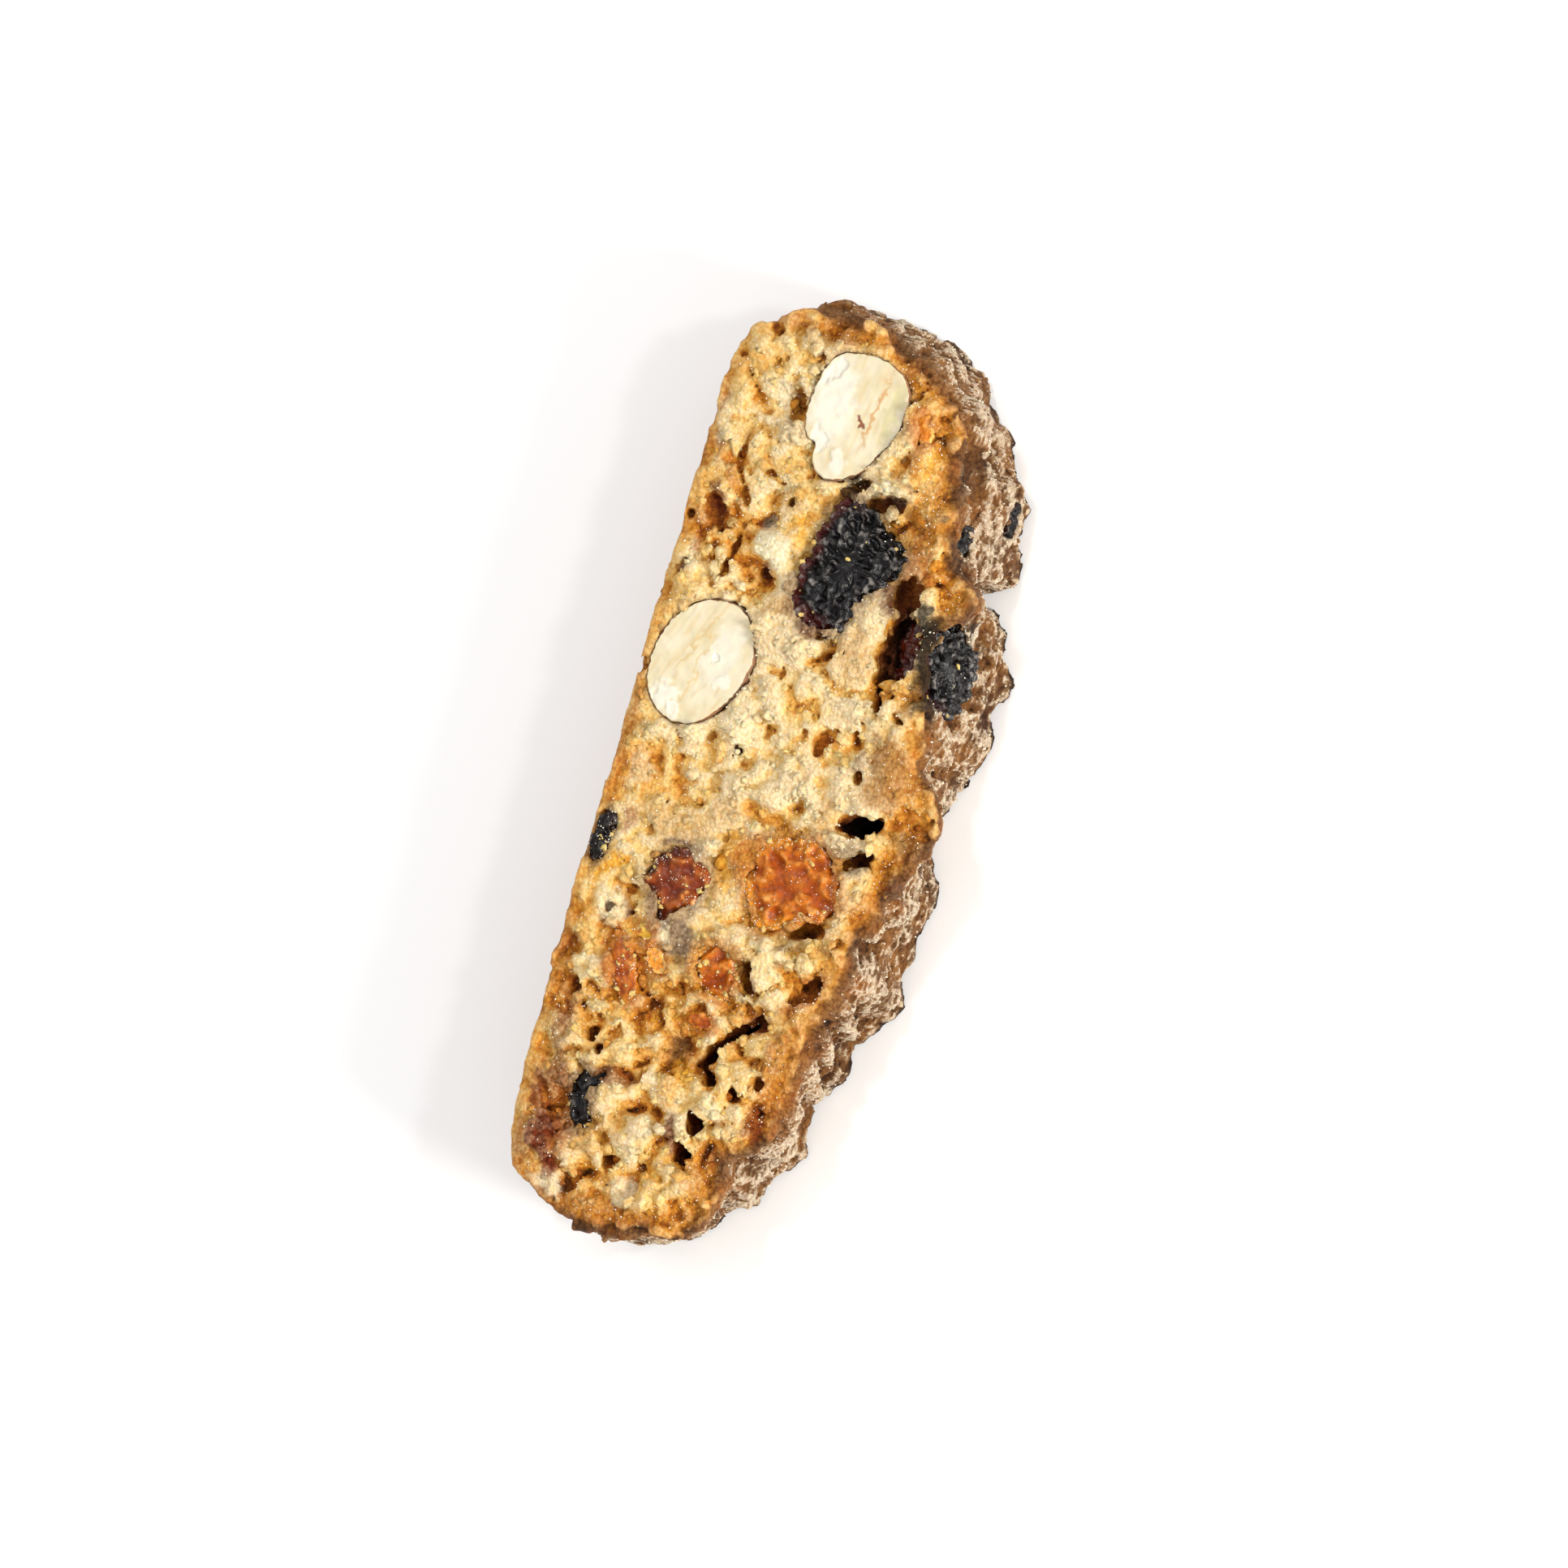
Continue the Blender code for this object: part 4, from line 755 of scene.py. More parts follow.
def doughColours(points, normals, axes, field, side, crown):
    x, y, z = points.T
    solid = (field > 0).astype(np.float32)
    out = points + 0.25 * normals
    near = sampled(boxBlur(boxBlur(solid, 2), 1), axes, out)
    wide = sampled(boxBlur(boxBlur(solid, 6), 3), axes, out)
    hollow = np.clip((near - 0.42) * 3.2, -1, 1)
    sunken = np.clip((wide - 0.45) * 3.0, -1, 1)
    say("hollows")
    inFromWall = sampled(side, axes, points)
    wx, wy = (layered(v, x, y, z, (0.9, 2.0, seed), (0.5, 0.8, seed + 1)) for v, seed in ((x, 141), (y, 143)))
    top = sampled(np.broadcast_to(crown[:, :, None], field.shape), axes, points)
    below = np.clip(top - z, 0, 20)
    crusty = ease((1.2 - inFromWall) / 0.9) * ease((below - 0.4 + 0.4 * softNoise(x, y, z, 1.1, 145)) / 0.8)
    crusty = crusty * ease((z - 0.35) / 0.5)
    baked = crustSide(y)

    # painted shade: the crumb darkens with depth and in hollows; it also browns towards the crust
    mottle = softNoise(wx, wy, z, 1.5, 147)
    level = 0.2 + 0.95 * below + 0.4 * np.clip(hollow, -0.5, 1) + 0.5 * np.clip(sunken, -0.5, 1)
    level = layered(level, wx, wy, z, (0.5, 5.0, 146), (0.2, 2.6, 160))
    level = level + 0.3 * np.sign(mottle) * np.abs(mottle) ** 1.5 + 0.55 * ease((3.2 - inFromWall) / 3.0)
    for cx, cy, length, width, paler in paleGround:
        level = level - paler * (1.0 - ease(ovalDistance(wx, wy, cx, cy, length, width, 0) - 0.5))
    stops = [depth for depth, _tone in paintedShadeByDepth]
    scale = np.array([tint(crumb[tone]) for _depth, tone in paintedShadeByDepth])
    c = np.stack([np.interp(level, stops, scale[:, k]) for k in range(3)], 1)
    rimGlow = ease((4.2 - inFromWall + 1.2 * softNoise(wx, wy, z, 3.0, 148)) / 4.0) * (0.55 + 0.45 * baked)
    toast = ease(0.55 + 1.3 * softNoise(wx, wy, z, 2.6, 156))
    c = mixed(c, crumb["caramel"], (0.32 + 0.38 * baked) * rimGlow * toast)
    c = mixed(c, crumb["amber"], 0.6 * rimGlow * ease(1.1 * softNoise(wx, wy, z, 1.3, 157) - 0.1))
    c = stainsAndShade(c, wx, wy, patches)
    # painted shade in hollows and deep in the pits, down to near black; painted highlight, paler, on the
    # crests
    for tone, amount in (("brown", 0.25 * ease(hollow * 1.6 - 0.3)),
                         ("white", 0.25 * ease(-hollow * 1.6 - 0.45)),
                         ("brown", 0.8 * ease((below - 1.5) / 1.2)),
                         ("dark", 0.97 * ease((below - 2.3) / 1.6))):
        c = mixed(c, crumb[tone], amount)
    for f in fruits.values():
        away = fruitPocket(dict(f, depth=f["depth"] + 1.0), x, y, z)
        ring = ease((f["haloReach"] - away + 0.5 * softNoise(wx, wy, z, 1.4, 158)) / f["haloReach"])
        c = mixed(c, f["halo"], f["haloShare"] * ring)
    # painted shade: a brown ring in the dough's gap around each nut
    for n in nuts.values():
        away = nutPocket(n, x, y, z)
        c = mixed(c, crumb["brown"], 0.5 * ease((0.4 - away + 0.25 * softNoise(wx, wy, z, 0.9, 159)) / 0.5))

    # browned crust with painted shade in its crevices, floury on its ridges; the base is plain golden brown
    # with painted shade in its hollows
    wall = np.repeat(tint(crustTones["brown"])[None, :], len(points), 0)
    wall = mixed(wall, crustTones["deep"], 0.4 + 1.0 * softNoise(wx, wy, z, 4.2, 151))
    amber = 0.8 * ease(0.15 + 1.3 * softNoise(wx, wy, z, 2.4, 152)) * ease(1.3 - below / 7.0)
    wall = mixed(wall, crustTones["amber"], amber)
    wall = mixed(wall, crustTones["creviceShade"], 0.9 * ease(hollow * 1.5))
    dust = ease(-hollow * 1.7 - 0.05 + 1.0 * softNoise(wx, wy, z, 3.0, 153))
    dust = dust * baked * ease((below - 0.8) / 2.5)
    wall = mixed(wall, crustTones["dust"], 0.4 * dust)
    wall = mixed(wall, crustTones["base"], 0.85 * (1 - baked))
    wall = mixed(wall, crustTones["baseDeep"], 0.7 * (1 - baked) * ease(hollow * 1.3 + 0.1))
    c = c + (wall - c) * crusty[:, None]
    c = stainsAndShade(c, wx, wy + 0.6 * below, juice)
    return c, {"crust": crusty, "flour": dust * crusty * baked, "rim": rimGlow, "in": inFromWall}


def setInputs(node, values):
    # by socket name or number; a value is another node's socket, a number or a colour
    for key, value in values.items():
        if isinstance(value, bpy.types.NodeSocket):
            node.id_data.links.new(value, node.inputs[key])
        else:
            node.inputs[key].default_value = value


def addNode(tree, kind, settings, inputs):
    # one node with its settings and links
    node = tree.nodes.new(kind)
    for key, value in settings.items():
        setattr(node, key, value)
    setInputs(node, inputs)
    return node


def newMaterial(name):
    material = bpy.data.materials.new(name)
    material.use_nodes = True
    tree = material.node_tree
    place = addNode(tree, "ShaderNodeTexCoord", {}, {}).outputs["Object"]
    tone = addNode(tree, "ShaderNodeAttribute", {"attribute_name": "tone"}, {}).outputs["Color"]
    return material, tree, tree.nodes["Principled BSDF"], place, tone


doughLook = {                       # baked flour paste: 0.1 to 0.3 mm grains, drawn coarser so that they show
    "grain": 0.36, "blotch": 1.6,           # spacing of grains and of cloudy tone, in mm
    "bump": 0.3, "roughness": 0.65, "specular": 0.18,
    "lightLetIn": 0.35, "lightReach": 0.7,  # a little light goes through, red furthest
    "crevices": 0.62, "creviceGamma": 1.9,  # painted shade, amber, between the grains
    "flour": "dac8ae", "flourGrain": 0.4,   # dusting flour is finer than 0.1 mm, drawn as clusters
}


def crumbMaterial(name, look):
    # sawn and browned dough: a matt grainy face with amber painted shade in its crevices, and flour dust on
    # the crust
    material, tree, shader, place, tone = newMaterial(name)
    grain, shades = look["grain"], []
    speck = addNode(tree, "ShaderNodeTexNoise", {}, {
        "Vector": place, "Scale": 1 / (grain * mm), "Detail": 5.0, "Roughness": 0.7})
    blotch = addNode(tree, "ShaderNodeTexNoise", {}, {
        "Vector": place, "Scale": 1 / (look["blotch"] * mm), "Detail": 4.0, "Roughness": 0.6})
    bent = addNode(tree, "ShaderNodeVectorMath", {"operation": "MULTIPLY_ADD"}, {
        0: speck.outputs["Color"], 1: (0.3 * grain * mm,) * 3, 2: place})
    grains = addNode(tree, "ShaderNodeTexVoronoi", {}, {
        "Vector": bent.outputs[0], "Scale": 1 / (1.1 * grain * mm)})
    cell = addNode(tree, "ShaderNodeSeparateColor", {}, {"Color": grains.outputs["Color"]})
    for value, low, high, least, most in ((speck.outputs["Fac"], 0.32, 0.68, 0.9, 1.04),
                                          (blotch.outputs["Fac"], 0.3, 0.7, 0.92, 1.03),
                                          (cell.outputs[0], 0.0, 1.0, 0.93, 1.04)):
        shades.append(addNode(tree, "ShaderNodeMapRange", {}, {
            "Value": value, "From Min": low, "From Max": high, "To Min": least, "To Max": most}).outputs[0])
    both = addNode(tree, "ShaderNodeMath", {"operation": "MULTIPLY"}, {0: shades[0], 1: shades[1]})
    every = addNode(tree, "ShaderNodeMath", {"operation": "MULTIPLY"}, {0: both.outputs[0], 1: shades[2]})
    scaled = addNode(tree, "ShaderNodeVectorMath", {"operation": "SCALE"}, {
        0: tone, "Scale": every.outputs[0]}).outputs[0]
    # painted shade: darker amber between the grains
    deep = addNode(tree, "ShaderNodeGamma", {}, {"Color": scaled, "Gamma": look["creviceGamma"]})
    gap = addNode(tree, "ShaderNodeMath", {"operation": "MULTIPLY_ADD"}, {
        0: speck.outputs["Fac"], 1: -1.0, 2: grains.outputs["Distance"]})
    inGap = addNode(tree, "ShaderNodeMapRange", {}, {
        "Value": gap.outputs[0], "From Min": -0.12, "From Max": 0.3, "To Min": 0.0,
        "To Max": look["crevices"]})
    toned = addNode(tree, "ShaderNodeMix", {"data_type": "RGBA"}, {
        "Factor": inGap.outputs[0], 6: scaled, 7: deep.outputs[0]})
    flour = addNode(tree, "ShaderNodeAttribute", {"attribute_name": "flour"}, {}).outputs["Fac"]
    cluster = addNode(tree, "ShaderNodeTexNoise", {}, {
        "Vector": place, "Scale": 1 / (look["flourGrain"] * mm), "Detail": 6.0, "Roughness": 0.8})
    edge = addNode(tree, "ShaderNodeMath", {"operation": "MULTIPLY_ADD"}, {
        0: flour, 1: 0.35, 2: cluster.outputs["Fac"]})
    dusted = addNode(tree, "ShaderNodeMapRange", {}, {
        "Value": edge.outputs[0], "From Min": 0.72, "From Max": 0.95})
    dusty = addNode(tree, "ShaderNodeMix", {"data_type": "RGBA"}, {
        "Factor": dusted.outputs[0], 6: toned.outputs[2], 7: (*tint(look["flour"]), 1)})
    height = addNode(tree, "ShaderNodeMath", {"operation": "MULTIPLY_ADD"}, {
        0: grains.outputs["Distance"], 1: -0.7, 2: speck.outputs["Fac"]})
    bump = addNode(tree, "ShaderNodeBump", {}, {
        "Strength": 1.0, "Distance": look["bump"] * mm, "Height": height.outputs[0]})
    setInputs(shader, {
        "Base Color": dusty.outputs[2], "Normal": bump.outputs[0], "Roughness": look["roughness"],
        "Specular IOR Level": look["specular"], "Subsurface Weight": look["lightLetIn"],
        "Subsurface Radius": (1.0, 0.55, 0.2), "Subsurface Scale": look["lightReach"] * mm})
    return material


# the glossy ones by slot; wrinkles of dried fruit are 0.3 to 0.6 mm apart, and sugar's 0.1 mm grit is drawn
# three times as coarse so that it shows
flesh = dict(lightLetIn=0.0, coat=0.0, specular=0.3, least=0.6, most=1.35)
glossLooks = {                      # grain and rise: mm between wrinkles or grit, and mm of bump
    # cooked soft and near-black, with wet glints on its folds
    "dark_plum": dict(flesh, name="driedPlumCooked", grain=0.45, rise=0.22, roughness=0.1),
    # shrivelled skin with a softer sheen
    "dark_raisin": dict(
        flesh, name="driedRaisinShrivelled", grain=0.5, rise=0.2, roughness=0.16, specular=0.22),
    # candied, then sawn: sticky satin, a little clear
    "candied_apricot": dict(
        flesh, name="candiedApricotSawn", grain=0.45, rise=0.16, lightLetIn=0.05, roughness=0.38, coat=0.1,
        specular=0.2),
    # sawn through: clear red flesh and a moist skin
    "red_sultana": dict(
        flesh, name="driedSultanaSawn", grain=0.5, rise=0.14, lightLetIn=0.05, roughness=0.3, coat=0.2,
        specular=0.22),
    # diced in its syrup: satin with small glints
    "candied_peel": dict(
        flesh, name="candiedPeelDiced", grain=0.4, rise=0.1, lightLetIn=0.08, roughness=0.3, coat=0.15,
        specular=0.2),
    # thin diced peel that glows a little
    "orange_peel": dict(
        flesh, name="candiedOrangeDiced", grain=0.4, rise=0.08, lightLetIn=0.25, roughness=0.4, coat=0.2),
    # the palest peel, which glows most
    "yellow_citron": dict(
        flesh, name="candiedCitronDiced", grain=0.4, rise=0.08, lightLetIn=0.3, roughness=0.4, coat=0.2),
    # loose crystals: white, with small glints
    "sugar": dict(
        flesh, name="castorSugarCrystals", grain=0.3, rise=0.02, roughness=0.4, least=0.92, most=1.04),
    # ivory kernel sawn clean: a faint waxy sheen from its oil
    "almond_kernel": dict(
        flesh, name="almondKernelSawn", grain=0.7, rise=0.04, lightLetIn=0.3, roughness=0.5, specular=0.25,
        least=0.96, most=1.03),
}


def glossMaterial(name, grain, rise, lightLetIn, roughness, coat, specular, least, most):
    material, tree, shader, place, tone = newMaterial(name)
    speck = addNode(tree, "ShaderNodeTexNoise", {}, {
        "Vector": place, "Scale": 1 / (grain * mm), "Detail": 4.0, "Roughness": 0.6})
    shade = addNode(tree, "ShaderNodeMapRange", {}, {
        "Value": speck.outputs["Fac"], "From Min": 0.3, "From Max": 0.7, "To Min": least, "To Max": most})
    scaled = addNode(tree, "ShaderNodeVectorMath", {"operation": "SCALE"}, {
        0: tone, "Scale": shade.outputs[0]})
    bump = addNode(tree, "ShaderNodeBump", {}, {
        "Strength": 0.7, "Distance": rise * mm, "Height": speck.outputs["Fac"]})
    setInputs(shader, {
        "Base Color": scaled.outputs[0], "Normal": bump.outputs[0], "Roughness": roughness,
        "Coat Weight": coat, "Coat Roughness": 0.2, "Specular IOR Level": specular,
        "Subsurface Weight": lightLetIn,
        "Subsurface Radius": (1.0, 0.4, 0.15), "Subsurface Scale": 1.2 * mm})
    return material


def ringFaces(rings, count):
    # quads between rings, with both ends closed by quads across the small end rings
    i = np.arange(count)
    j = (i + 1) % count
    last = (rings - 1) * count
    k = np.arange(count // 2 - 1)
    rows = [np.stack([k + 1, k, count - 1 - k, count - 2 - k], 1),
            last + np.stack([k, k + 1, count - 2 - k, count - 1 - k], 1)]
    for level in range(rings - 1):
        low, high = level * count, (level + 1) * count
        rows.append(np.stack([low + i, low + j, high + j, high + i], 1))
    return np.concatenate(rows)


def pieceName(node):
    # almond_upper becomes almondUpper
    words = node.split("_")
    return words[0] + "".join(word.title() for word in words[1:])


fruitSkins = {}


def buildFruit(name, f):
    # rings from the bottom of the pocket to the sawn top, wrinkled along their normals
    rings, count, ragged = f["rings"], f["around"], f["ragged"]
    turn = math.pi * (np.linspace(0.004, 0.996, rings) - 0.5)
    h = np.sin(turn)[:, None] * np.ones((1, count))
    size = np.maximum(0.0, 1.0 - np.abs(h) ** (2.0 / 0.75)) ** (0.5 * 0.75)
    angle = 360.0 * np.arange(count) / count
    a = np.radians(angle)[None, :]
    edge = sectionRadius(angle, f["half"], f["lobes"])[None, :]
    edge = layered(edge, 5 * np.cos(a), 5 * np.sin(a), 0 * a, (ragged, 1.2, 171), (0.2 * ragged, 0.5, 172))
    r = edge * size
    z = h * np.where(h > 0, f["rise"], f["depth"])
    p = np.stack([r * np.cos(a), r * np.sin(a), z], -1).reshape(-1, 3)
    faces = ringFaces(rings, count)
    n = quadNormals(p, faces)
    lift = f["folds"] * (0.5 - 2.2 * np.abs(softNoise(*p.T, f["foldSize"], 181)))
    lift = lift + f["grain"] * (domes(*p.T, f["grainSize"] * 1.6, 182) - 0.5)
    lift = lift * np.repeat(np.clip(size[:, 0] * 3, 0, 1), count)
    p = p + n * lift[:, None]
    m = fruitMatrix(f)
    world = p @ m.T + np.array(f["at"])
    outer = np.hypot(p[:, 0], p[:, 1]) / np.repeat(edge, rings, 0).ravel()
    fruitSkins[name] = (world, n @ m.T, outer)
    rim = ease((outer + 0.15 * softNoise(*p.T, 1.4, 183) - 0.72) / 0.2) * ease(f["edgeSide"] + 0.25 * p[:, 1])
    peaks = ease((lift / f["folds"] - 0.2) / 0.2) * ease(1.8 * softNoise(*p.T, 0.6, 184))
    c = np.repeat(tint(f["body"])[None, :], len(p), 0)
    # painted highlight: the ridge tone on fold tops and glints on the peaks
    c = mixed(c, f["ridge"], 0.8 * ease(lift / f["folds"] + 0.4))
    c = mixed(c, f["edge"], 0.8 * rim)
    c = mixed(c, f["fleck"], f["glintFleckShare"] * peaks)
    piece = f.get("piece") or pieceName(name)
    return addPiece(piece, (name,), world, faces, c, glossMaterials[f["slot"]])


kernel = {
    "ivory": "cfc09a", "pale": "d9d0b6", "grain": "c4a468", "skin": "7b4a28", "skinDark": "2a1208",
    "around": 280, "above": 0.12,           # the sawn face stands this far above the cut
}


def buildNut(name, n):
    # stacked sections from the lower cut face to the upper one, then rings across the cut
    count = kernel["around"]
    angle = 360.0 * np.arange(count) / count
    a = np.radians(angle)
    round9 = (9 * np.cos(a), 9 * np.sin(a), 0 * a)
    edge = sectionRadius(angle, n["half"], n["lobes"])
    scallop = layered(0.0, *round9, (0.14, 1.3, 192), (0.08, 0.6, 196))
    rings, skins = [], []
    for z in np.linspace(0.06, 14.9, 16):
        way = nutWay(z)
        r = (edge + 0.6 * scallop) * (1.0 - (1.0 - n["shrink"]) * way)
        r = layered(r, edge * np.cos(a), edge * np.sin(a), 0 * a + z, (0.05, 1.4, 191))
        dx, dy = n["drift"]
        rings.append(np.stack([r * np.cos(a) + dx * way, r * np.sin(a) + dy * way, 0 * a + z], 1))
        skins.append(np.ones(count))
    thin = layered(0.98, *round9, (0.010, 1.6, 197))        # how far in the brown skin shows
    for t in np.concatenate([[1.0, 0.993, 0.986, 0.978, 0.97, 0.955, 0.94], np.linspace(0.925, 0.01, 56)]):
        r = edge * t + scallop * t ** 4
        px, py = r * np.cos(a), r * np.sin(a)
        top = layered(loaf["thickness"] + kernel["above"], px, py, 0 * a, (0.10, 3.0, 193), (0.06, 0.9, 194))
        rings.append(np.stack([px, py, top - 0.14 * (t > 0.99) - 0.05 * (t > 0.98)], 1))
        skins.append((t > thin).astype(float))
    p = np.concatenate(rings)
    turn = math.radians(n["turn"])
    spin = np.array([[math.cos(turn), math.sin(turn), 0], [-math.sin(turn), math.cos(turn), 0], [0, 0, 1]])
    world = p @ spin + np.array([*n["at"], 0.0])
    x, y, z = world.T
    wx, wy = (layered(v, x, y, z, (0.6, 1.1, k), (0.3, 0.45, k + 2)) for v, k in ((x, 211), (y, 212)))
    c = np.repeat(tint(kernel["ivory"])[None, :], len(p), 0)
    c = mixed(c, kernel["pale"], 0.5 + 0.7 * softNoise(*p.T, 2.6, 195))
    streaks = softNoise(0.35 * p[:, 0], 2.2 * p[:, 1], p[:, 2], 1.0, 198)
    c = mixed(c, kernel["grain"], 0.3 * ease(1.6 * streaks))
    face = ease((z - 14.6) / 0.3)
    for px, py, length, width, veer, tone, strength, lift in n["marks"]:
        inside = (1.0 - ease((ovalDistance(wx, wy, px, py, length, width, veer) - 0.6) / 0.6)) * face
        c = mixed(c, tone, strength * inside)
        world[:, 2] += 0.7 * lift * inside
    low, high = n["skinless"]
    around = np.abs((np.tile(angle, len(rings)) - 0.5 * (low + high) + 180) % 360 - 180)
    skin = np.concatenate(skins) * ease((around - 0.5 * (high - low)) / 12.0 + 0.5)
    c = mixed(c, kernel["skin"], 0.9 * skin)
    c = mixed(c, kernel["skinDark"], 0.6 * skin * ease(1.6 * softNoise(*p.T, 2.6, 199) - 0.2))
    faces = ringFaces(len(rings), count)
    slot = "almond_kernel"
    return addPiece(pieceName(name), (name,), world, faces, c, glossMaterials[slot])


def ballPoints(level):
    bm = bmesh.new()
    bmesh.ops.create_icosphere(bm, subdivisions=level, radius=1.0)
    points = np.array([v.co[:] for v in bm.verts])
    faces = np.array([[v.index for v in f.verts] for f in bm.faces])
    bm.free()
    return points, faces


def randomTurns(draw, count):
    q = draw.normal(size=(count, 4))
    q /= np.linalg.norm(q, axis=1)[:, None]
    w, x, y, z = q.T
    return np.stack([1 - 2 * (y * y + z * z), 2 * (x * y - w * z), 2 * (x * z + w * y),
                     2 * (x * y + w * z), 1 - 2 * (x * x + z * z), 2 * (y * z - w * x),
                     2 * (x * z - w * y), 2 * (y * z + w * x), 1 - 2 * (x * x + y * y)], 1).reshape(-1, 3, 3)


def scatterGrains(name, spots, normals, tones, g, material):
    # lumps of uneven shape, each partly sunk where it lies
    draw = np.random.default_rng(g["seed"])
    ball, faces = ballPoints(g["level"])
    count = len(spots)
    least, most = g["size"]
    size = 0.5 * (least + (most - least) * draw.uniform(size=count) ** g["few"])
    shape = 1.0 + draw.uniform(-g["uneven"], g["uneven"], (count, 1, 3))
    offset = draw.uniform(0, 90, (count, 1, 3))
    knobs = softNoise(*(ball[None] * 1.25 + offset).reshape(-1, 3).T, 0.9, 201).reshape(count, -1, 1)
    p = ball[None] * shape * (1.0 + g["knobs"] * knobs) * size[:, None, None]
    p = np.einsum("nij,nkj->nki", randomTurns(draw, count), p)
    p = p + (spots + normals * (size * g["proud"])[:, None])[:, None, :]
    p[..., 2] -= np.maximum(0.0, p[..., 2].max(axis=1) - loaf["highest"])[:, None]
    every = (faces[None] + (np.arange(count) * len(ball))[:, None, None]).reshape(-1, 3)
    c = np.clip(tones * (1 + g["lighter"] * draw.uniform(-0.4, 1.0, (count, 1))), 0, 1)
    addPiece(name, (), p.reshape(-1, 3), every, np.repeat(c, len(ball), 0), material)
    say("%s: %d lumps, %d triangles" % (name, count, len(every)))


axes, field, side, crown = buildField()
points, quads = fieldToMesh(axes, field)
points, quads = largestPiece(points, quads)
say("one body: %d points, %d quads" % (len(points), len(quads)))
normals = quadNormals(points, quads)
tones, masks = doughColours(points, normals, axes, field, side, crown)
doughMaterial = crumbMaterial("bakedDoughSawn", doughLook)
glossMaterials = {slot: glossMaterial(**look) for slot, look in glossLooks.items()}


def splitDough(crustLevel):
    # crumb and crust share their border's points and normals, so no seam shows
    crustFace = (masks["crust"][quads].mean(axis=1) > 0.5) | (points[quads, 2].mean(axis=1) < crustLevel)
    for name, chosen in (("doughCrumb", ~crustFace), ("doughCrust", crustFace)):
        part = quads[chosen]
        used = np.unique(part)
        number = np.zeros(len(points), np.int64)
        number[used] = np.arange(len(used))
        obj = addPiece(name, ("dough",), points[used], number[part], tones[used],
                       doughMaterial, masks["flour"][used])
        obj.data.normals_split_custom_set_from_vertices(normals[used].tolist())
        say("%s: %d triangles" % (name, 2 * len(part)))


splitDough(7.0)
for name, f in fruits.items():
    buildFruit(name, f)
for name, n in nuts.items():
    buildNut(name, n)
say("nuts and fruit")


loose = {                           # size in mm; few makes large ones rarer, proud is how far they stand out
    "crumbLumps": dict(seed=301, level=2, size=(0.6, 1.4), few=1.6, uneven=0.35, knobs=0.8, proud=-0.3,
                       lighter=0.02, spots=(401, 340)),
    "crumbGrains": dict(seed=302, level=2, size=(0.2, 0.6), few=2.2, uneven=0.35, knobs=0.95, proud=0.0,
                        lighter=0.03, spots=(402, 2000)),
    "sugarDust": dict(seed=303, level=1, size=(0.07, 0.18), few=2.0, uneven=0.3, knobs=0.6, proud=0.5,
                      lighter=0.1, spots=(403, 5200)),
}
onFruit = {                         # crumbs, sugar grains
    "apricot_large": (22, 420), "apricot_small": (26, 160), "sultana": (12, 200), "plum_centre": (12, 30),
    "peel_red": (10, 90), "orange_chip": (8, 30), "citron_bit": (4, 20), "raisin_lower": (8, 60),
    "raisin_base": (8, 60), "plum_crust": (16, 40)}
sugarTone, fruitSugarTone = "efe4cc", "efe6d6"


def chosen(seed, count, weight):
    draw = np.random.default_rng(seed)
    return draw.choice(len(weight), count, replace=False, p=weight / weight.sum())


def scatterOnDough():
    openCrumb = ease((masks["in"] - 0.8) / 1.0) * (1 - masks["crust"]) * ease((points[:, 2] - 12.6) / 1.2)
    openCrumb = openCrumb * ease((normals[:, 2] - 0.1) / 0.4)
    weights = {
        "crumbLumps": openCrumb,
        "crumbGrains": openCrumb + 0.12 * masks["crust"],
        "sugarDust": 0.3 * openCrumb + 0.5 * masks["flour"] + 0.6 * masks["rim"] * openCrumb,
    }
    for name, weight in weights.items():
        k = chosen(*loose[name]["spots"], weight)
        if name == "sugarDust":
            pale = np.repeat(tint(sugarTone)[None], len(k), 0)
            scatterGrains(name, points[k], normals[k], pale, loose[name], glossMaterials["sugar"])
        else:
            scatterGrains(name, points[k], normals[k], tones[k], loose[name], doughMaterial)


def scatterOnFruit(label, kind, look, tone, seed, material):
    # on the upper side of the fruit, more of it near the edge
    spots, ways = [], []
    for number, (name, counts) in enumerate(onFruit.items()):
        p, n, edge = fruitSkins[name]
        weight = ease((n[:, 2] - 0.2) / 0.4) * (0.35 + 2.0 * ease((edge - 0.7) / 0.25))
        k = chosen(seed + number, counts[kind], weight)
        spots.append(p[k])
        ways.append(n[k])
    spots, ways = np.concatenate(spots), np.concatenate(ways)
    scatterGrains(label, spots, ways, np.repeat(tint(tone)[None], len(spots), 0), look, material)


scatterOnDough()
scatterOnFruit("crumbsOnFruit", 0, loose["crumbGrains"], crumb["pale"], 500, doughMaterial)
fineSugar = dict(loose["sugarDust"], size=(0.05, 0.15))
scatterOnFruit("sugarOnFruit", 1, fineSugar, fruitSugarTone, 600, glossMaterials["sugar"])


# camera as the photograph was taken: above the cut face, tilted to the crust's side; the anchor is the spot
# under one pixel of the photograph
shot = {
    "tilt": 21.0, "roll": 15.3, "lens": 250.0, "sensor": 36.0, "frameMm": 144.9, "level": 15.0,
    "anchor": (0.55, 5.95, 0.0), "anchorPixel": (950, 955), "pixels": 1932,
}


def addObject(name, data):
    holder = bpy.data.objects.new(name, data)
    bpy.context.scene.collection.objects.link(holder)
    return holder


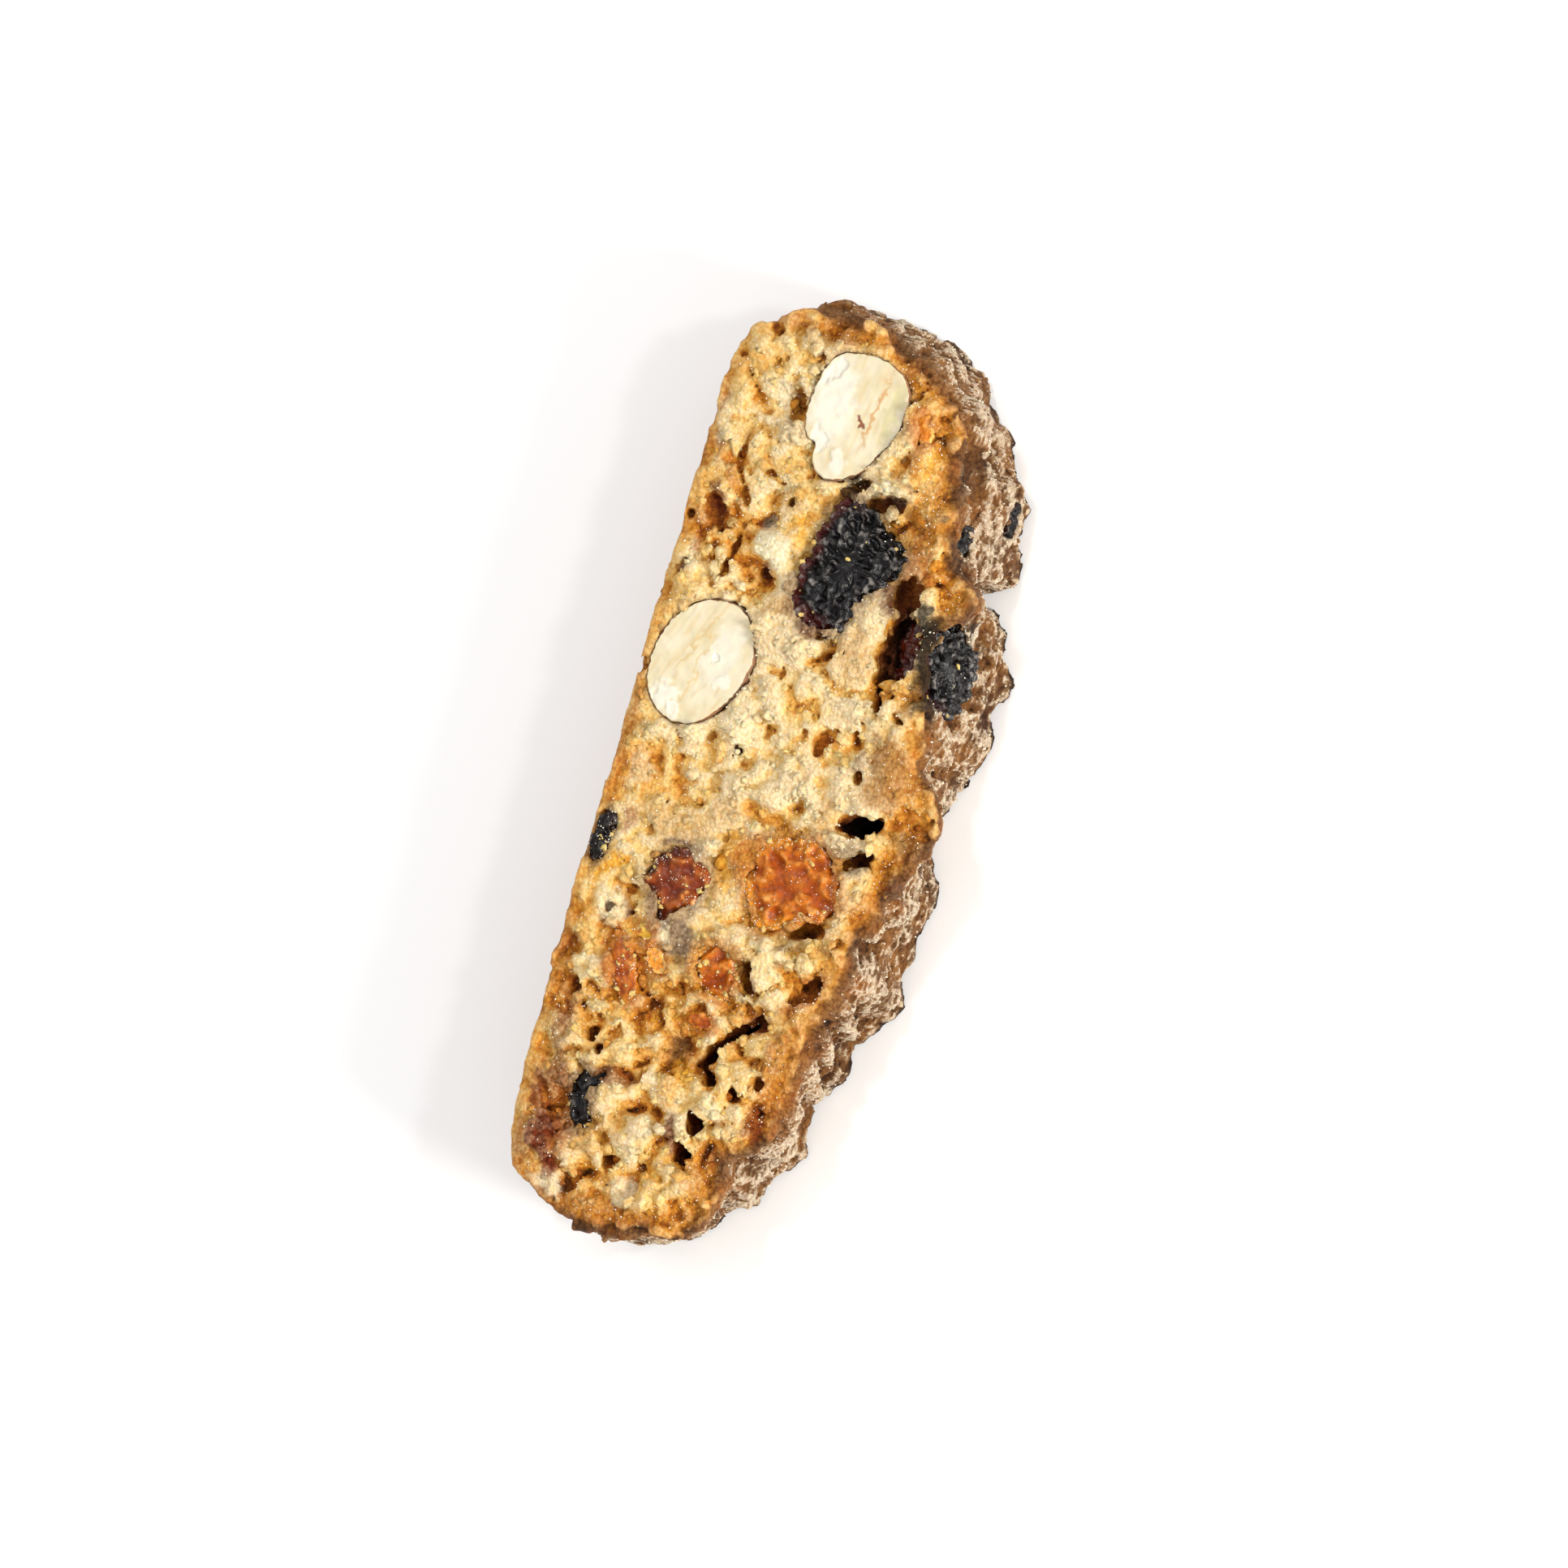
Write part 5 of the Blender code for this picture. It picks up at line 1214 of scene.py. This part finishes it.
def addCamera():
    t, r = math.radians(shot["tilt"]), math.radians(shot["roll"])
    back = Vector((0, -math.sin(t), math.cos(t)))
    flat = Vector((0, -math.cos(t), -math.sin(t)))
    along = Vector((1, 0, 0))
    right = math.cos(r) * flat + math.sin(r) * along
    up = -math.sin(r) * flat + math.cos(r) * along
    scale, half = shot["frameMm"] / shot["pixels"], 0.5 * shot["pixels"]
    px, py = shot["anchorPixel"]
    target = Vector(shot["anchor"]) + (half - px) * scale * right + (py - half) * scale * up
    distance = shot["frameMm"] * shot["lens"] / shot["sensor"] + shot["level"] * math.cos(t)
    cam = bpy.data.cameras.new("camera")
    cam.lens = shot["lens"]
    cam.sensor_width = shot["sensor"]
    cam.clip_start = 0.01
    holder = addObject("camera", cam)
    m = Matrix((right, up, back)).transposed().to_4x4()
    m.translation = (target + distance * back) * mm
    holder.matrix_world = m
    bpy.context.scene.camera = holder
    return right, up, back


# soft lamps, and two small ones for the glints on wet fruit
lamps = {                           # shares of right, up and back; distance and size in m, watts, colour
    "key": ((0.75, -0.35, 0.9), 0.6, 0.18, 3.6, "fffbf5"),
    "fill": ((-0.8, 0.5, 1.1), 0.7, 0.4, 0.9, "fcfdff"),
    "glintUpper": ((-0.35, 0.55, 1.1), 0.6, 0.05, 0.5, "ffffff"),
    "glintLower": ((0.5, 0.1, 1.1), 0.6, 0.05, 0.5, "ffffff"),
}
studio = {"sky": "fffdfb", "skyStrength": 0.68, "floor": "f8f8f8", "floorHalf": 0.6}


def addLamps(right, up, back):
    for name, ((a, b, c), distance, size, power, colour) in lamps.items():
        lamp = bpy.data.lights.new(name, "AREA")
        lamp.shape = "DISK"
        lamp.size = size
        lamp.energy = power
        lamp.color = tint(colour)
        holder = addObject(name, lamp)
        direction = a * right + b * up + c * back
        holder.location = direction.normalized() * distance
        holder.rotation_euler = direction.to_track_quat("Z", "Y").to_euler()


def addFloor():
    mesh = bpy.data.meshes.new("floor")
    h = studio["floorHalf"]
    mesh.from_pydata([(-h, -h, 0), (h, -h, 0), (h, h, 0), (-h, h, 0)], [], [(0, 1, 2, 3)])
    board = bpy.data.materials.new("paleBoard")     # matt painted board, which only catches the shadow
    board.use_nodes = True
    setInputs(board.node_tree.nodes["Principled BSDF"], {"Base Color": (*tint(studio["floor"]), 1)})
    mesh.materials.append(board)
    addObject("floor", mesh)


addLamps(*addCamera())
world = bpy.data.worlds.new("studio")
world.use_nodes = True
setInputs(world.node_tree.nodes["Background"], {0: (*tint(studio["sky"]), 1), 1: studio["skyStrength"]})
bpy.context.scene.world = world
bpy.context.scene.view_settings.view_transform = "Standard"
addFloor()
say("camera and light")
